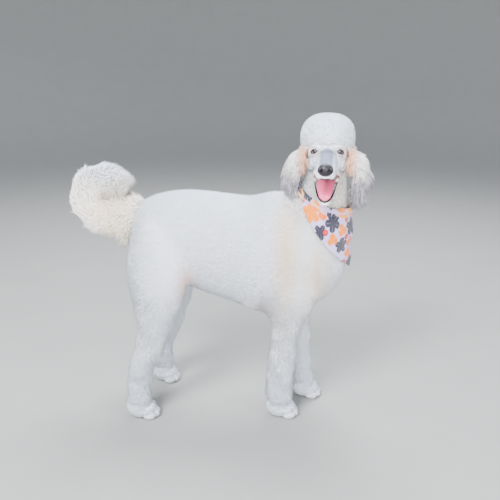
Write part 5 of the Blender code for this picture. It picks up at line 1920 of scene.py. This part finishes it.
def make_stage():
    """Round floor that curves up into a wall."""
    rows = (0.02, 0), (1.5, 0), (3, 0), (4.6, 0), (5.6, 0.1), (6.3, 0.42), (6.8, 1), (7.05, 1.8), (7.1, 3.2)
    angles = round_about(128)
    round_it = np.stack([np.cos(angles), np.sin(angles), angles * 0], 1)
    rings = [round_it * far + (0, 0, up) for far, up in through(rows, 4)]
    index = np.arange(len(rings) * 128).reshape(-1, 128)
    beside = np.roll(index, -1, 1)
    quads = np.stack([index[:-1], beside[:-1], beside[1:], index[1:]], 2).reshape(-1, 4)
    floor = mesh_of("floor", np.vstack(rings), quads.tolist() + [index[0].tolist()[::-1]])
    paint = Paint("floor", Roughness=0.85)
    paint.feed("Base Color", paint.mix((0.28, 0.28, 0.275), (0.31, 0.31, 0.305), paint.noise(6.0, 4.0)))
    paint.on(floor)


def add_light(name, at, aim, power, size, colour):
    light = bpy.data.lights.new(name, "AREA")
    light.shape, light.size, light.energy, light.color = "DISK", size, power, colour
    obj = put(name, light)
    obj.location = at
    obj.rotation_euler = (Vector(aim) - Vector(at)).to_track_quat("-Z", "Y").to_euler()


make_stage()
world = bpy.data.worlds.new("studio")
bpy.context.scene.world = world
world.use_nodes = True
backdrop = world.node_tree.nodes["Background"]
backdrop.inputs["Color"].default_value = (0.70, 0.82, 0.96, 1.0)
backdrop.inputs["Strength"].default_value = 0.60
add_light("key", (-1.2, -2.6, 3.2), (0, 0, 0.45), 430, 1.6, (0.97, 0.985, 1.0))
add_light("fill", (2.6, -2.0, 1.8), (0, 0, 0.45), 95, 2.4, (0.94, 0.97, 1.0))
add_light("front", (0.4, -3.2, 0.8), (0.1, 0, 0.5), 210, 2.4, (1.0, 0.99, 0.98))
add_light("top", (0.3, 1.4, 3.4), (0, 0, 0.5), 250, 1.8, (0.96, 0.98, 1.0))

camera = bpy.data.cameras.new("camera")
camera.lens, camera.sensor_width = 38.88, 36.0
camera_object = put("camera", camera)
yaw, pitch = math.radians(5.64), math.radians(17.5)
ahead = Vector((-math.sin(yaw) * math.cos(pitch), math.cos(yaw) * math.cos(pitch), -math.sin(pitch)))
camera_object.location = CAMERA_AT
camera_object.rotation_euler = ahead.to_track_quat("-Z", "Y").to_euler()
bpy.context.scene.camera = camera_object
